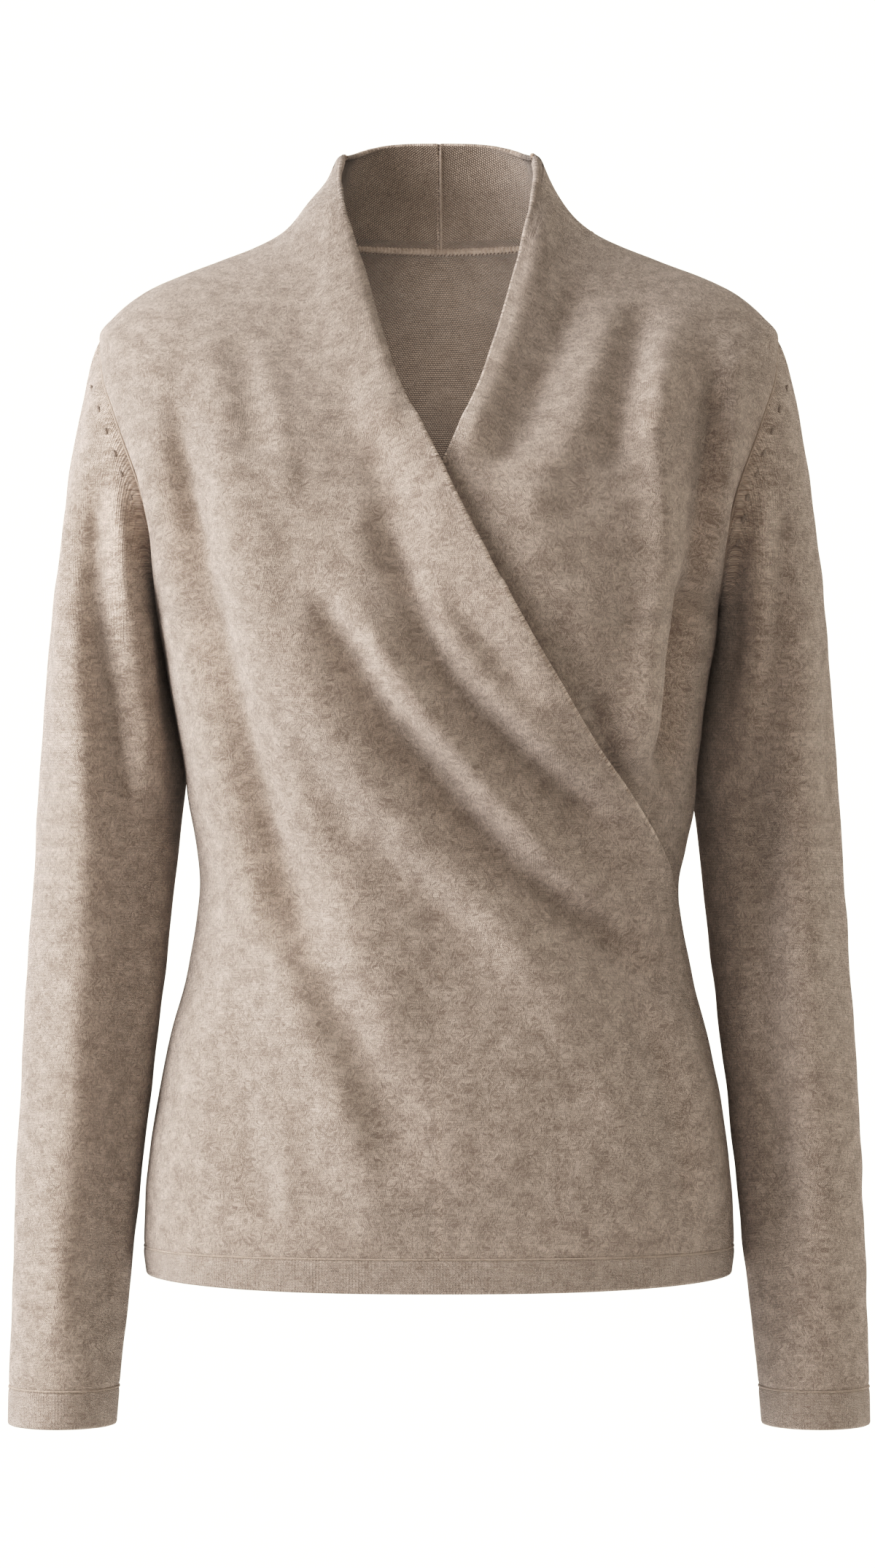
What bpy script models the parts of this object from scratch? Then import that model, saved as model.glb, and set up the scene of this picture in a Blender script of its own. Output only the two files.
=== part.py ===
"""Wrap-front knitted pullover with a stand shawl collar, hollow, in its worn form.

Metres, +Z up. The wearer faces -Y, and the wearer's left is +X. The origin is the point between the
shoulders, level with the inner ends of the shoulder seams, where the wearer's shoulders carry it.

Every panel is a wall on one form. A row of the form is a loop round the garment, and its place on the
row is `around`: 0 at centre front, 1 at the side seam, armhole or shoulder seam, 2 at centre back,
negative on the wearer's right. Tables are in millimetres.
"""
import math
from collections import namedtuple

import bpy
import numpy as np

MM = 0.001

# Cloth
WALL = 2.0                # knitted cloth with its nap
BAND_WALL = 2.6           # doubled hem and cuff bands
SEAM_GAP = 0.3            # clear width of every seam
LAYER_LIFT = 2.8          # over front above the under front, at the crossing edge
HIDDEN_DROP = 7.5         # under front below the form, behind the folds of the over front
SEAM_DROP = 3.0           # the same where it is sewn in with the over front

# Where the fronts lie on each other
PARTING_Z = -78.0         # the two layers start to part below this height
PARTING_RUN = 35.0        # and have done so this far below it
FREE_EDGE_Z = -98.0       # below this the over front's folds stay off its edge
WAIST_Z = -370.0
EDGE_SLANT = 0.87         # cosine of the over edge's slant, turns a width into a distance
LIFT_WIDTH = 40.0         # the over front comes down to the form within this of its edge
LIFT_AT_SEAM = 0.3        # share of the lift that is left at the side seam
PRESSED = 8.0             # width beside the over edge in which the under front starts to go down
PRESSED_AT_SEAM = 12.0    # added to that at the side seam
PRESSED_RUN = 26.0        # the under front has gone down within this

# Widths in which the folds grow to full height
SIDE_FADE = 24.0
HEM_FADE = 35.0
EDGE_FADE = 30.0
CORNER_REACH = 4.0        # the over front's folds start this far beyond its edge
UNDER_FADE = 20.0
FOLD_END = 0.3            # share of a fold's length at each end in which it grows or fades
FOLD_END_HEIGHT = 0.25    # share of its height that is left at its ends

# Mesh density
TORSO_ROWS = 17
FRONT_COLUMNS = 18
BACK_HALF_COLUMNS = 5
AROUND_STEP = 0.02        # spacings at which the form's slopes are taken
LEVEL_STEP = 2.0
NUDGE = 1e-6              # puts a place on the front's or the back's side of a shared seam

# Rows of the form, hem to collar top. front, side and back give the height of the row at centre front,
# at the side and at centre back. side_x is its half width, front_d and back_d its depth from mid_y.
# front_out and back_out open the row at the armhole. wide and deep square its corners off.
Row = namedtuple("Row", "front side back side_x front_out back_out front_d back_d mid_y wide deep")
TORSO = [
    Row(-607, -603, -606, 172.0, 0, 0, 109, 112, 0, 2.3, 2.2),
    Row(-587, -587, -587, 173.6, 0, 0, 110.5, 114, 0, 2.3, 2.2),
    Row(-540, -540, -540, 171.0, 0, 0, 111, 117, 0, 2.3, 2.2),
    Row(-473, -473, -473, 160.2, 0, 0, 107, 113, 0, 2.3, 2.2),
    Row(-420, -420, -420, 146.5, 0, 0, 102, 101, 0, 2.3, 2.2),
    Row(-374, -374, -374, 140.0, 0, 0, 99, 91, 0, 2.3, 2.2),
    Row(-318, -318, -318, 147.0, 0, 0, 107, 93, 0, 2.3, 2.2),
    Row(-262, -258, -260, 157.0, 0, 0, 120, 101, 0, 2.3, 2.2),
    Row(-232, -222, -228, 163.0, 0, 0, 120, 105, 0, 2.3, 2.2),
]
ARMHOLE = [
    Row(-222, -205, -216, 164.3, 24, 30, 119.2, 106, 0, 2.3, 2.2),
    Row(-212, -188, -205, 166.0, 37, 46, 117.8, 107, 0, 2.25, 2.15),
    Row(-202, -170, -194, 168.2, 44, 55, 116, 107.5, 1, 2.2, 2.1),
    Row(-192, -152, -182, 171.8, 46, 59, 114.2, 107.5, 1, 2.15, 2.1),
    Row(-182, -134, -169, 177.6, 45, 60, 112.2, 106.5, 2, 2.1, 2.05),
    Row(-172, -115, -155, 184.8, 41, 56, 110.2, 105, 3, 2.05, 2),
    Row(-162, -96, -139, 191.6, 34, 48, 108.2, 103, 4, 2, 2),
    Row(-152.5, -77, -121, 197.8, 23, 35, 106.2, 100, 5, 2, 2),
    Row(-143, -53, -98, 200.4, 0, 0, 104, 96, 6, 2, 2),
]
SHOULDER = [
    Row(-134, -39.5, -83, 191.0, 0, 0, 101, 93, 7, 2, 2),
    Row(-125, -25.4, -67, 173.4, 0, 0, 98, 90, 8, 2, 2),
    Row(-115, -15.4, -50, 151.6, 0, 0, 94, 86, 9, 2, 2),
    Row(-104, -6.4, -32, 128.6, 0, 0, 89, 79, 10, 2, 2),
    Row(-92, 1.2, -14, 109.0, 0, 0, 84, 71, 10, 2, 2),
    Row(-80, 8.6, 4, 93.4, 0, 0, 79, 63, 10, 2, 2.05),
]
COLLAR = [
    Row(-70, 19.0, 17, 80.2, 0, 0, 73, 58, 10, 2.05, 2.1),
    Row(-60, 30.0, 31, 71.8, 0, 0, 67, 54.5, 10, 2.1, 2.15),
    Row(-50, 40.0, 44, 66.2, 0, 0, 61, 52, 10, 2.3, 2.2),
    Row(-40, 50.0, 57, 61.9, 0, 0, 56, 50, 10, 2.6, 2.25),
    Row(-31, 58.5, 68.5, 58.4, 0, 0, 52, 48.5, 10, 3.0, 2.3),
]
FORM = TORSO + ARMHOLE + SHOULDER + COLLAR

# Front edge of the over front, seen from the front: height and place across, from the collar's top
# corner to the wearer's left side seam. The under front has the mirror image of it.
Edge = namedtuple("Edge", "z x")
FRONT_EDGE = [
    Edge(58, -57.2), Edge(45, -56.8), Edge(31.7, -55.5), Edge(13, -51), Edge(-10, -44.8), Edge(-32, -38.7),
    Edge(-54, -32.3), Edge(-76, -25.1), Edge(-97, -17.1), Edge(-118, -7.5), Edge(-135, 1.2),
    Edge(-168, 17.4), Edge(-200, 34), Edge(-230, 50.8), Edge(-259, 67.3), Edge(-291, 86.6),
    Edge(-321, 105.7), Edge(-345, 119.4), Edge(-365, 129.5), Edge(-386, 138.5), Edge(-396, 145),
    Edge(-460, 190), Edge(-620, 300),
]

# Largest folds. height is the crest (or trough, negative), width the distance to half of it, and the
# route runs down the front as (x, z).
Fold = namedtuple("Fold", "height width route")
OVER_FOLDS = [
    Fold(2.0, 12, [(-51, -36), (-34, -98), (-3, -169), (36, -229), (70, -270)]),
    Fold(-2.4, 13, [(-42, -176), (-14, -226), (22, -272), (66, -313), (97, -341)]),
    Fold(2.6, 13, [(-60, -207), (-34, -251), (-1, -289), (34, -323), (70, -350), (108, -376)]),
    Fold(-4.2, 14, [(-71, -227), (-48, -268), (-11, -309), (28, -352), (70, -388), (110, -420), (132, -438)]),
    Fold(4.0, 15, [(-93, -232), (-69, -281), (-35, -327), (3, -370), (45, -409), (84, -447), (103, -468)]),
    Fold(-2.6, 14, [(-71, -318), (-45, -362), (-14, -411), (12, -462), (20, -484)]),
    Fold(4.0, 17, [(-146, -77), (-130, -150), (-113, -225), (-91, -300), (-66, -370), (-42, -425), (-26, -515)]),
    Fold(-4.5, 15, [(-159, -80), (-148, -160), (-132, -235), (-112, -312), (-88, -395), (-62, -468), (-38, -526)]),
    Fold(2.8, 14, [(-152, -240), (-137, -290), (-121, -350), (-104, -412), (-84, -470), (-70, -512)]),
    Fold(-2.2, 12, [(-125, -66), (-112, -119), (-95, -160)]),
]
UNDER_FOLDS = [
    Fold(-2.4, 10, [(66, -45), (48, -92), (32, -125)]),
    Fold(2.4, 10, [(83, -45), (71, -95), (42, -150)]),
    Fold(-2.6, 10, [(120, -42), (104, -102), (90, -145)]),
    Fold(2.4, 11, [(130, -42), (123, -100), (108, -160)]),
    Fold(-4.0, 13, [(153, -69), (146, -130), (136, -195), (124, -256), (115, -318)]),
    Fold(2.8, 11, [(124, -190), (115, -243), (103, -293)]),
    Fold(2.4, 10, [(166, -80), (159, -140), (153, -202), (143, -265)]),
    Fold(-2.6, 12, [(86, -245), (90, -275)]),
]

# Rings of a sleeve, armhole to wrist, wearer's left. out and in give the outer and inner points of the
# ring in the XZ plane, front_y and back_y its reach, in_back how far its inner side lies behind its
# middle. hug keeps what is left of the armhole's own curve.
Ring = namedtuple("Ring", "out_x out_z in_x in_z front_y back_y in_back hug")
SLEEVE_RINGS = [
    Ring(200.4, -53, 163.0, -222, -45, 60, 0, 1.0),
    Ring(205.4, -67, 166.2, -223, -47, 61, 2, 0.86),
    Ring(211.0, -92, 167.6, -226, -50, 62, 6, 0.62),
    Ring(217.0, -125, 167.0, -230, -53, 62.5, 15, 0.36),
    Ring(222.0, -163, 164.0, -237, -55, 62.5, 25, 0.14),
    Ring(226.8, -205, 160.2, -248, -56, 62, 31, 0.03),
    Ring(231.0, -252, 155.6, -266, -55, 60, 32, 0.0),
    Ring(234.8, -304, 148.6, -304, -53, 55, 27, 0.0),
    Ring(236.6, -340, 152.4, -340, -51, 51, 18, 0.0),
    Ring(240.0, -392, 157.6, -392, -49, 45, 9, 0.0),
    Ring(243.8, -450, 163.8, -450, -48, 40, 4, 0.0),
    Ring(247.4, -518, 171.4, -518, -48, 34, 0, 0.0),
    Ring(250.4, -592, 179.8, -592, -49, 27, 0, 0.0),
    Ring(252.4, -669, 187.6, -669, -51, 20, 0, 0.0),
]
CUFF_RINGS = [
    SLEEVE_RINGS[-1],
    Ring(252.7, -691, 189.4, -691, -51.5, 18.5, 0, 0.0),
]

OATMEAL = (0.49, 0.40, 0.33, 1.0)
PIECE_TINTS = {"front_right": 1.0, "front_left": 0.95, "back": 0.88, "sleeve_left": 0.92,
               "sleeve_right": 0.97, "hem_front": 0.9, "hem_back": 0.82, "cuff_left": 0.86,
               "cuff_right": 0.9}
KNIT_ROUGHNESS = 0.95


# ---------------------------------------------------------------- curves and rows

def smooth_curve(places, values, at):
    """Cubic through the values that never overshoots them."""
    steps = np.diff(places)
    slopes = np.diff(values, axis=0) / steps[:, None]
    tangents = np.zeros_like(values)
    same_way = slopes[:-1] * slopes[1:] > 0
    total = slopes[:-1] + slopes[1:]
    tangents[1:-1] = np.where(same_way, 2 * slopes[:-1] * slopes[1:] / np.where(same_way, total, 1), 0)
    tangents[0] = slopes[0]
    tangents[-1] = slopes[-1]
    i = int(np.clip(np.searchsorted(places, at) - 1, 0, len(steps) - 1))
    h = steps[i]
    t = (at - places[i]) / h
    start = (1 + 2 * t) * (1 - t) ** 2 * values[i] + t * (1 - t) ** 2 * h * tangents[i]
    end = t * t * (3 - 2 * t) * values[i + 1] + t * t * (t - 1) * h * tangents[i + 1]
    return start + end


def columns(table):
    return np.array([list(row) for row in table], dtype=float)


FORM_COLUMNS = columns(FORM)
EDGE_COLUMNS = columns(FRONT_EDGE)[::-1]


def row_at(level):
    return Row(*smooth_curve(FORM_COLUMNS[:, 0], FORM_COLUMNS, level))


def edge_x(z):
    return float(np.interp(z, EDGE_COLUMNS[:, 0], EDGE_COLUMNS[:, 1]))


def ramp(value, length):
    """0 at or below zero, 1 at or beyond the length, soft at both ends."""
    t = min(max(value / length, 0.0), 1.0)
    return t * t * (3 - 2 * t)


def unit(vector):
    return vector / np.linalg.norm(vector)


# ---------------------------------------------------------------- the form

def form_point(around, level):
    """Outer face of the garment's form, without folds or layers."""
    row = row_at(level)
    side = -1.0 if around < 0 else 1.0
    around = abs(around)
    if around <= 1.0:
        part, edge_y, depth, middle_z, facing = around, row.front_out, row.front_d, row.front, -1.0
    else:
        part, edge_y, depth, middle_z, facing = 2.0 - around, row.back_out, row.back_d, row.back, 1.0
    edge_angle = math.acos((max(edge_y, 0.0) / depth) ** (row.deep / 2))
    angle = part * edge_angle
    reach = row.side_x / math.sin(edge_angle) ** (2 / row.wide)
    fall = (math.cos(angle) ** 2 - math.cos(edge_angle) ** 2) / math.sin(edge_angle) ** 2
    x = side * reach * math.sin(angle) ** (2 / row.wide)
    y = row.mid_y + facing * depth * max(math.cos(angle), 0.0) ** (2 / row.deep)
    z = row.side + (middle_z - row.side) * fall
    return np.array([x, y, z])


def sheet_normal(around, level):
    """Outward normal of the form, taken inside the sheet that holds the point."""
    low, high = around - AROUND_STEP, around + AROUND_STEP
    if abs(abs(around) - 1.0) < 0.99 * AROUND_STEP:
        if (abs(around) <= 1.0) == (around > 0):
            high = around
        else:
            low = around
    above = min(level + LEVEL_STEP, FORM[-1].front)
    below = max(level - LEVEL_STEP, FORM[0].front)
    across = form_point(high, level) - form_point(low, level)
    up = form_point(around, above) - form_point(around, below)
    return unit(np.cross(across, up))


def form_normal(around, level):
    """As sheet_normal, shared by the sheets on both sides of a side, shoulder or centre back seam."""
    if abs(abs(around) - 2.0) < 2 * NUDGE:
        normal = sheet_normal(math.copysign(2.0 - 2 * AROUND_STEP, around), level)
        return unit(normal * np.array([0, 1, 1]))
    if abs(abs(around) - 1.0) < 2 * NUDGE and row_at(level).front_out < 0.5:
        front = sheet_normal(math.copysign(1.0 - NUDGE, around), level)
        back = sheet_normal(math.copysign(1.0 + NUDGE, around), level)
        return unit(front + back)
    return sheet_normal(around, level)


def fold_height(folds, x, z):
    """Sum of the folds at a place on the front; each fades out along its last stretches."""
    height = 0.0
    for fold in folds:
        gap, place, length = nearest_on_route(fold.route, x, z)
        ends = ramp(place, FOLD_END * length) * ramp(length - place, FOLD_END * length)
        share = FOLD_END_HEIGHT + (1 - FOLD_END_HEIGHT) * ends
        height += fold.height * share * 0.5 ** ((gap / fold.width) ** 2)
    return height


def nearest_on_route(route, x, z):
    """Distance to a route, how far along it the nearest point lies, and its whole length."""
    points = np.array(route, dtype=float)
    lengths = np.linalg.norm(np.diff(points, axis=0), axis=1)
    starts = np.concatenate([[0], np.cumsum(lengths)])
    nearest, place = math.inf, 0.0
    for start, point, target, length in zip(starts, points, points[1:], lengths):
        along = (target - point) / length
        offset = np.array([x, z]) - point
        t = float(np.clip(np.dot(offset, along), 0, length))
        gap = float(np.linalg.norm(offset - along * t))
        if gap < nearest:
            nearest, place = gap, start + t
    return nearest, place, starts[-1]


def side_distance(around, level):
    """Rough distance along a front from its side boundary; a quarter row is 0.8 of its two reaches."""
    row = row_at(level)
    return (1.0 - abs(around)) * (row.side_x + row.front_d) * 0.8


def front_height(layer, point, around, level):
    """How far a front's outer face stands off the form: its folds, and the two layers at the crossing."""
    x, z = point[0], point[2]
    if abs(around) >= 1.0 and z > WAIST_Z:
        return 0.0
    covered = (edge_x(z) - x) * EDGE_SLANT
    inside = ramp(side_distance(around, level), SIDE_FADE)
    fade = inside * ramp(z - TORSO[1].side, HEM_FADE)
    parted = ramp(PARTING_Z - z, PARTING_RUN)
    if layer == "over":
        at_edge = 1 - ramp(covered, LIFT_WIDTH)
        lift = LAYER_LIFT * parted * at_edge * (LIFT_AT_SEAM + (1 - LIFT_AT_SEAM) * inside)
        near_edge = ramp(covered + CORNER_REACH, EDGE_FADE) if z < FREE_EDGE_Z else 1.0
        return lift + fold_height(OVER_FOLDS, x, z) * fade * near_edge
    drop = (SEAM_DROP + (HIDDEN_DROP - SEAM_DROP) * fade) * parted
    pressed = drop * ramp(covered + PRESSED + PRESSED_AT_SEAM * (1 - inside), PRESSED_RUN)
    return fold_height(UNDER_FOLDS, x, z) * fade * ramp(-covered, UNDER_FADE) - pressed


# ---------------------------------------------------------------- walls

class Wall:
    """Quads of a cloth panel, with the point on each face of the wall."""

    def __init__(self, thickness):
        self.thickness = thickness
        self.keys, self.outer, self.inner, self.quads = {}, [], [], []

    def point(self, key, outer, inward):
        self.keys[key] = len(self.outer)
        self.outer.append(outer)
        self.inner.append(outer + self.thickness * inward)

    def quad(self, *keys):
        self.quads.append([self.keys[key] for key in keys])

    def build(self, name):
        """One closed body: both faces, and a rim along each free edge."""
        count = len(self.outer)
        faces = []
        for a, b, c, d in self.quads:
            if np.linalg.norm(self.outer[a] - self.outer[c]) > np.linalg.norm(self.outer[b] - self.outer[d]):
                a, b, c, d = b, c, d, a
            for face in ((a, b, c), (a, c, d)):
                faces += [face, tuple(i + count for i in reversed(face))]
        edges = {(quad[i], quad[(i + 1) % 4]) for quad in self.quads for i in range(4)}
        for a, b in sorted(edges):
            if (b, a) in edges:
                continue
            if self.outer[a][2] > self.outer[b][2]:
                faces += [(b, a, b + count), (a, a + count, b + count)]
            else:
                faces += [(b, a, a + count), (b, a + count, b + count)]
        mesh = bpy.data.meshes.new(name)
        mesh.from_pydata([tuple(p * MM) for p in self.outer + self.inner], [], faces)
        mesh.materials.append(knit_material(name))
        mesh.shade_smooth()
        mesh.set_sharp_from_angle(angle=math.radians(50))
        obj = bpy.data.objects.new(name, mesh)
        bpy.context.collection.objects.link(obj)


def knit_material(name):
    material = bpy.data.materials.new("knit_" + name)
    material.use_nodes = True
    shader = material.node_tree.nodes["Principled BSDF"]
    tint = PIECE_TINTS[name]
    shader.inputs["Base Color"].default_value = [tint * channel for channel in OATMEAL[:3]] + [1.0]
    shader.inputs["Roughness"].default_value = KNIT_ROUGHNESS
    shader.inputs["Metallic"].default_value = 0.0
    return material


# ---------------------------------------------------------------- rows of the panels

def levels_between(first, last, count):
    return [first + (last - first) * i / count for i in range(count + 1)]


UNDERARM = TORSO[-1].front
SHOULDER_POINT = ARMHOLE[-1].front
NECK = SHOULDER[-1].front
BODY_LEVELS = levels_between(TORSO[1].front, UNDERARM, TORSO_ROWS)
BODY_LEVELS += [row.front for row in ARMHOLE] + [row.front for row in SHOULDER]
COLLAR_LEVELS = [row.front for row in COLLAR]
ARMHOLE_LEVELS = [UNDERARM] + [row.front for row in ARMHOLE]


def even_places(start, end, level, count):
    """Places round a row, evenly spaced along it."""
    fine = np.linspace(start, end, 97)
    points = np.array([form_point(a, level) for a in fine])
    run = np.concatenate([[0], np.cumsum(np.linalg.norm(np.diff(points, axis=0), axis=1))])
    return list(np.interp(np.linspace(0, run[-1], count + 1), run, fine))


def front_edge_place(level):
    """Where the front edge crosses a row, in the frame of the over front."""
    low, high = -1.0, 1.0
    for _ in range(40):
        middle = (low + high) / 2
        point = form_point(middle, level)
        if point[0] < edge_x(point[2]):
            low = middle
        else:
            high = middle
    return (low + high) / 2 if high < 1.0 - NUDGE else 1.0


def seam_shift(around):
    """Half a seam's gap at a side or shoulder seam, whose form runs straight front to back."""
    return np.array([0.0, math.copysign(SEAM_GAP / 2, abs(around) - 1.0 - NUDGE / 2), 0.0])


# ---------------------------------------------------------------- sleeves

def armhole_loop():
    """Levels and places of the armhole's points, shoulder point, down the front, up the back."""
    down = [(1.0, level) for level in reversed(ARMHOLE_LEVELS)]
    up = [(1.0 + NUDGE, level) for level in ARMHOLE_LEVELS[1:-1]]
    return down + up


def loop_angles(points):
    """Angle round the sleeve of each armhole point, 0 at the shoulder and pi at the underarm."""
    closed = points + [points[0]]
    lengths = [float(np.linalg.norm(b - a)) for a, b in zip(closed, closed[1:])]
    half = len(points) // 2
    front, back = sum(lengths[:half]), sum(lengths[half:])
    angles = [math.pi * sum(lengths[:i]) / front for i in range(half)]
    return angles + [math.pi * (1 + sum(lengths[half:half + i]) / back) for i in range(half)]


ARM_PLACES = armhole_loop()
ARM_POINTS = [form_point(around, level) for around, level in ARM_PLACES]
ARM_ANGLES = loop_angles(ARM_POINTS)


def ring_ellipse(ring, angle):
    middle_x, middle_z = (ring.out_x + ring.in_x) / 2, (ring.out_z + ring.in_z) / 2
    half_x, half_z = (ring.out_x - ring.in_x) / 2, (ring.out_z - ring.in_z) / 2
    middle_y, half_y = (ring.front_y + ring.back_y) / 2, (ring.back_y - ring.front_y) / 2
    along, side = math.cos(angle), math.sin(angle)
    y = middle_y - half_y * side + ring.in_back * (1 - along) / 2
    return np.array([middle_x + half_x * along, y, middle_z + half_z * along])


def sleeve_point(ring, column):
    angle = ARM_ANGLES[column]
    own_curve = ARM_POINTS[column] - ring_ellipse(SLEEVE_RINGS[0], angle)
    return ring_ellipse(ring, angle) + ring.hug * own_curve


def sleeve_grid(rings):
    return [[sleeve_point(ring, column) for column in range(len(ARM_PLACES))] for ring in rings]


def grid_normals(grid):
    """Outward normals of a tube of rings."""
    count = len(grid[0])
    normals = []
    for i, ring in enumerate(grid):
        above, below = grid[max(i - 1, 0)], grid[min(i + 1, len(grid) - 1)]
        row = []
        for j in range(count):
            round_it = ring[(j + 1) % count] - ring[j - 1]
            row.append(unit(np.cross(round_it, below[j] - above[j])))
        normals.append(row)
    return normals


SLEEVE_GRID = sleeve_grid(SLEEVE_RINGS)
SLEEVE_NORMALS = grid_normals(SLEEVE_GRID)


Joint = namedtuple("Joint", "shift torso_in sleeve_in")


def armhole_joints():
    """How both walls end at each armhole point. shift is half the seam's gap, from torso to sleeve, and
    the other two are inward steps: mitred where the seam is a ridge, square in a crease."""
    joints = {}
    count = len(ARM_PLACES)
    for j, (around, level) in enumerate(ARM_PLACES):
        torso, sleeve = form_normal(around, level), SLEEVE_NORMALS[0][j]
        seam = unit(ARM_POINTS[(j + 1) % count] - ARM_POINTS[j - 1])
        out = unit(np.cross(torso, seam))
        leaving = SLEEVE_GRID[1][j] - SLEEVE_GRID[0][j]
        leaving = unit(leaving - seam * float(np.dot(leaving, seam)))
        shift = unit(out + leaving) * SEAM_GAP / 2
        if np.dot(leaving, torso) < 0:
            shared = unit(torso + sleeve)
            step = -shared / float(np.dot(shared, torso))
            joints[place_key(around, level)] = Joint(shift, step, step)
        else:
            joints[place_key(around, level)] = Joint(shift, -torso, -sleeve)
    return joints


def place_key(around, level):
    at_back = abs(around) > 1.0 and UNDERARM < level < SHOULDER_POINT
    return at_back, round(level, 3)


ARM_JOINTS = armhole_joints()


def mirrored(point, side):
    return point * np.array([side, 1.0, 1.0])


def build_sleeve(side, name):
    """Sleeve of the wearer's left (side 1) or right (side -1)."""
    wall = Wall(WALL)
    count = len(ARM_PLACES)
    for i, ring in enumerate(SLEEVE_GRID):
        for j, point in enumerate(ring):
            inward = -SLEEVE_NORMALS[i][j]
            if i == 0:
                joint = ARM_JOINTS[place_key(*ARM_PLACES[j])]
                inward, point = joint.sleeve_in, point + joint.shift
            if i == len(SLEEVE_GRID) - 1:
                point = point + np.array([0, 0, SEAM_GAP / 2])
                inward = unit(inward * np.array([1, 1, 0]))
            wall.point((i, j), mirrored(point, side), mirrored(inward, side))
    tube_quads(wall, len(SLEEVE_GRID), count, side)
    wall.build(name)


def build_cuff(side, name):
    grid = sleeve_grid(CUFF_RINGS)
    normals = grid_normals(grid)
    wall = Wall(BAND_WALL)
    for i, ring in enumerate(grid):
        for j, point in enumerate(ring):
            flat = unit(normals[i][j] * np.array([1, 1, 0]))
            drop = np.array([0, 0, -SEAM_GAP / 2 if i == 0 else 0.0])
            wall.point((i, j), mirrored(point + drop, side), mirrored(-flat, side))
    tube_quads(wall, len(grid), len(grid[0]), side)
    wall.build(name)


def tube_quads(wall, rings, count, side):
    for i in range(rings - 1):
        for j in range(count):
            corners = [(i, j), (i, (j + 1) % count), (i + 1, (j + 1) % count), (i + 1, j)]
            wall.quad(*(corners if side > 0 else reversed(corners)))


# ---------------------------------------------------------------- fronts, back and hem

def side_end(around, level, outer, normal):
    """Outer point and inward step of a torso wall where it ends at a side seam, armhole or shoulder."""
    inward = -normal
    if not UNDERARM < level < SHOULDER_POINT:
        outer = outer + seam_shift(around)
    if UNDERARM <= level <= SHOULDER_POINT:
        side = math.copysign(1.0, around)
        joint = ARM_JOINTS[place_key(around, level)]
        outer, inward = outer - mirrored(joint.shift, side), mirrored(joint.torso_in, side)
    return outer, inward


def build_front(name, layer, side):
    """A front with its half of the collar. side is -1 for the over front and 1 for the under front."""
    wall = Wall(WALL)
    levels = BODY_LEVELS + COLLAR_LEVELS
    neck_row = len(BODY_LEVELS) - 1
    for i, level in enumerate(levels):
        end = front_edge_place(level)
        places = even_places(-1.0, end, level, FRONT_COLUMNS)
        if i >= neck_row:
            places = even_places(-2.0, -1.0, level, BACK_HALF_COLUMNS)[:-1] + places
        start = FRONT_COLUMNS - len(places) + 1
        for j, own in enumerate(places, start):
            around = own if side < 0 else -own
            point, normal = form_point(around, level), form_normal(around, level)
            outer = point + normal * front_height(layer, point, around, level)
            inward = -normal
            if j == 0 and i <= neck_row:
                outer, inward = side_end(around, level, outer, normal)
            if j == FRONT_COLUMNS and own >= 1.0:
                outer = outer + seam_shift(around)
            if i == 0:
                outer = outer + np.array([0, 0, SEAM_GAP / 2])
            if i == neck_row and j <= 0:
                outer = outer + neck_shift(around)
            if j == start and i >= neck_row:
                outer = outer + np.array([side * SEAM_GAP / 2, 0, 0])
            wall.point((i, j), outer, inward)
    for i in range(len(levels) - 1):
        first = 0 if i < neck_row else -BACK_HALF_COLUMNS
        for j in range(first, FRONT_COLUMNS):
            corners = [(i, j), (i, j + 1), (i + 1, j + 1), (i + 1, j)]
            wall.quad(*(corners if side < 0 else reversed(corners)))
    wall.build(name)


def neck_shift(around):
    """Half a seam's gap up the collar, at the neck seam."""
    around = math.copysign(max(abs(around), 1.0), around)
    return unit(form_point(around, NECK + 4) - form_point(around, NECK)) * SEAM_GAP / 2


def build_back(name):
    wall = Wall(WALL)
    last = len(BODY_LEVELS) - 1
    for i, level in enumerate(BODY_LEVELS):
        half = even_places(1.0 + NUDGE, 2.0, level, BACK_HALF_COLUMNS)
        places = half + [-place for place in reversed(half[:-1])]
        for j, around in enumerate(places):
            outer, normal = form_point(around, level), form_normal(around, level)
            inward = -normal
            if j in (0, len(places) - 1):
                outer, inward = side_end(around, level, outer, normal)
            if i == 0:
                outer = outer + np.array([0, 0, SEAM_GAP / 2])
            if i == last:
                outer = outer - neck_shift(around)
            wall.point((i, j), outer, inward)
        count = len(places)
    for i in range(last):
        for j in range(count - 1):
            wall.quad((i, j), (i, j + 1), (i + 1, j + 1), (i + 1, j))
    wall.build(name)


def build_hem(name, places_of):
    """Half of the hem band, from one side seam to the other."""
    wall = Wall(BAND_WALL)
    levels = [TORSO[0].front, TORSO[1].front]
    for i, level in enumerate(levels):
        places = places_of(level)
        last = len(places) - 1
        for j, around in enumerate(places):
            outer, normal = form_point(around, level), form_normal(around, level)
            flat = unit(normal * np.array([1, 1, 0]))
            if j in (0, last):
                outer = outer + seam_shift(around)
            if i == 1:
                outer = outer - np.array([0, 0, SEAM_GAP / 2])
            wall.point((i, j), outer, -flat)
    for j in range(last):
        wall.quad((0, j), (0, j + 1), (1, j + 1), (1, j))
    wall.build(name)


def front_hem_places(level):
    return even_places(-1.0, 1.0, level, FRONT_COLUMNS)


def back_hem_places(level):
    half = even_places(1.0 + NUDGE, 2.0, level, BACK_HALF_COLUMNS)
    return half + [-place for place in reversed(half[:-1])]


def main():
    for old in list(bpy.data.objects):
        bpy.data.objects.remove(old, do_unlink=True)
    build_front("front_right", "over", -1)
    build_front("front_left", "under", 1)
    build_back("back")
    build_sleeve(1, "sleeve_left")
    build_sleeve(-1, "sleeve_right")
    build_hem("hem_front", front_hem_places)
    build_hem("hem_back", back_hem_places)
    build_cuff(1, "cuff_left")
    build_cuff(-1, "cuff_right")


main()
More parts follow.
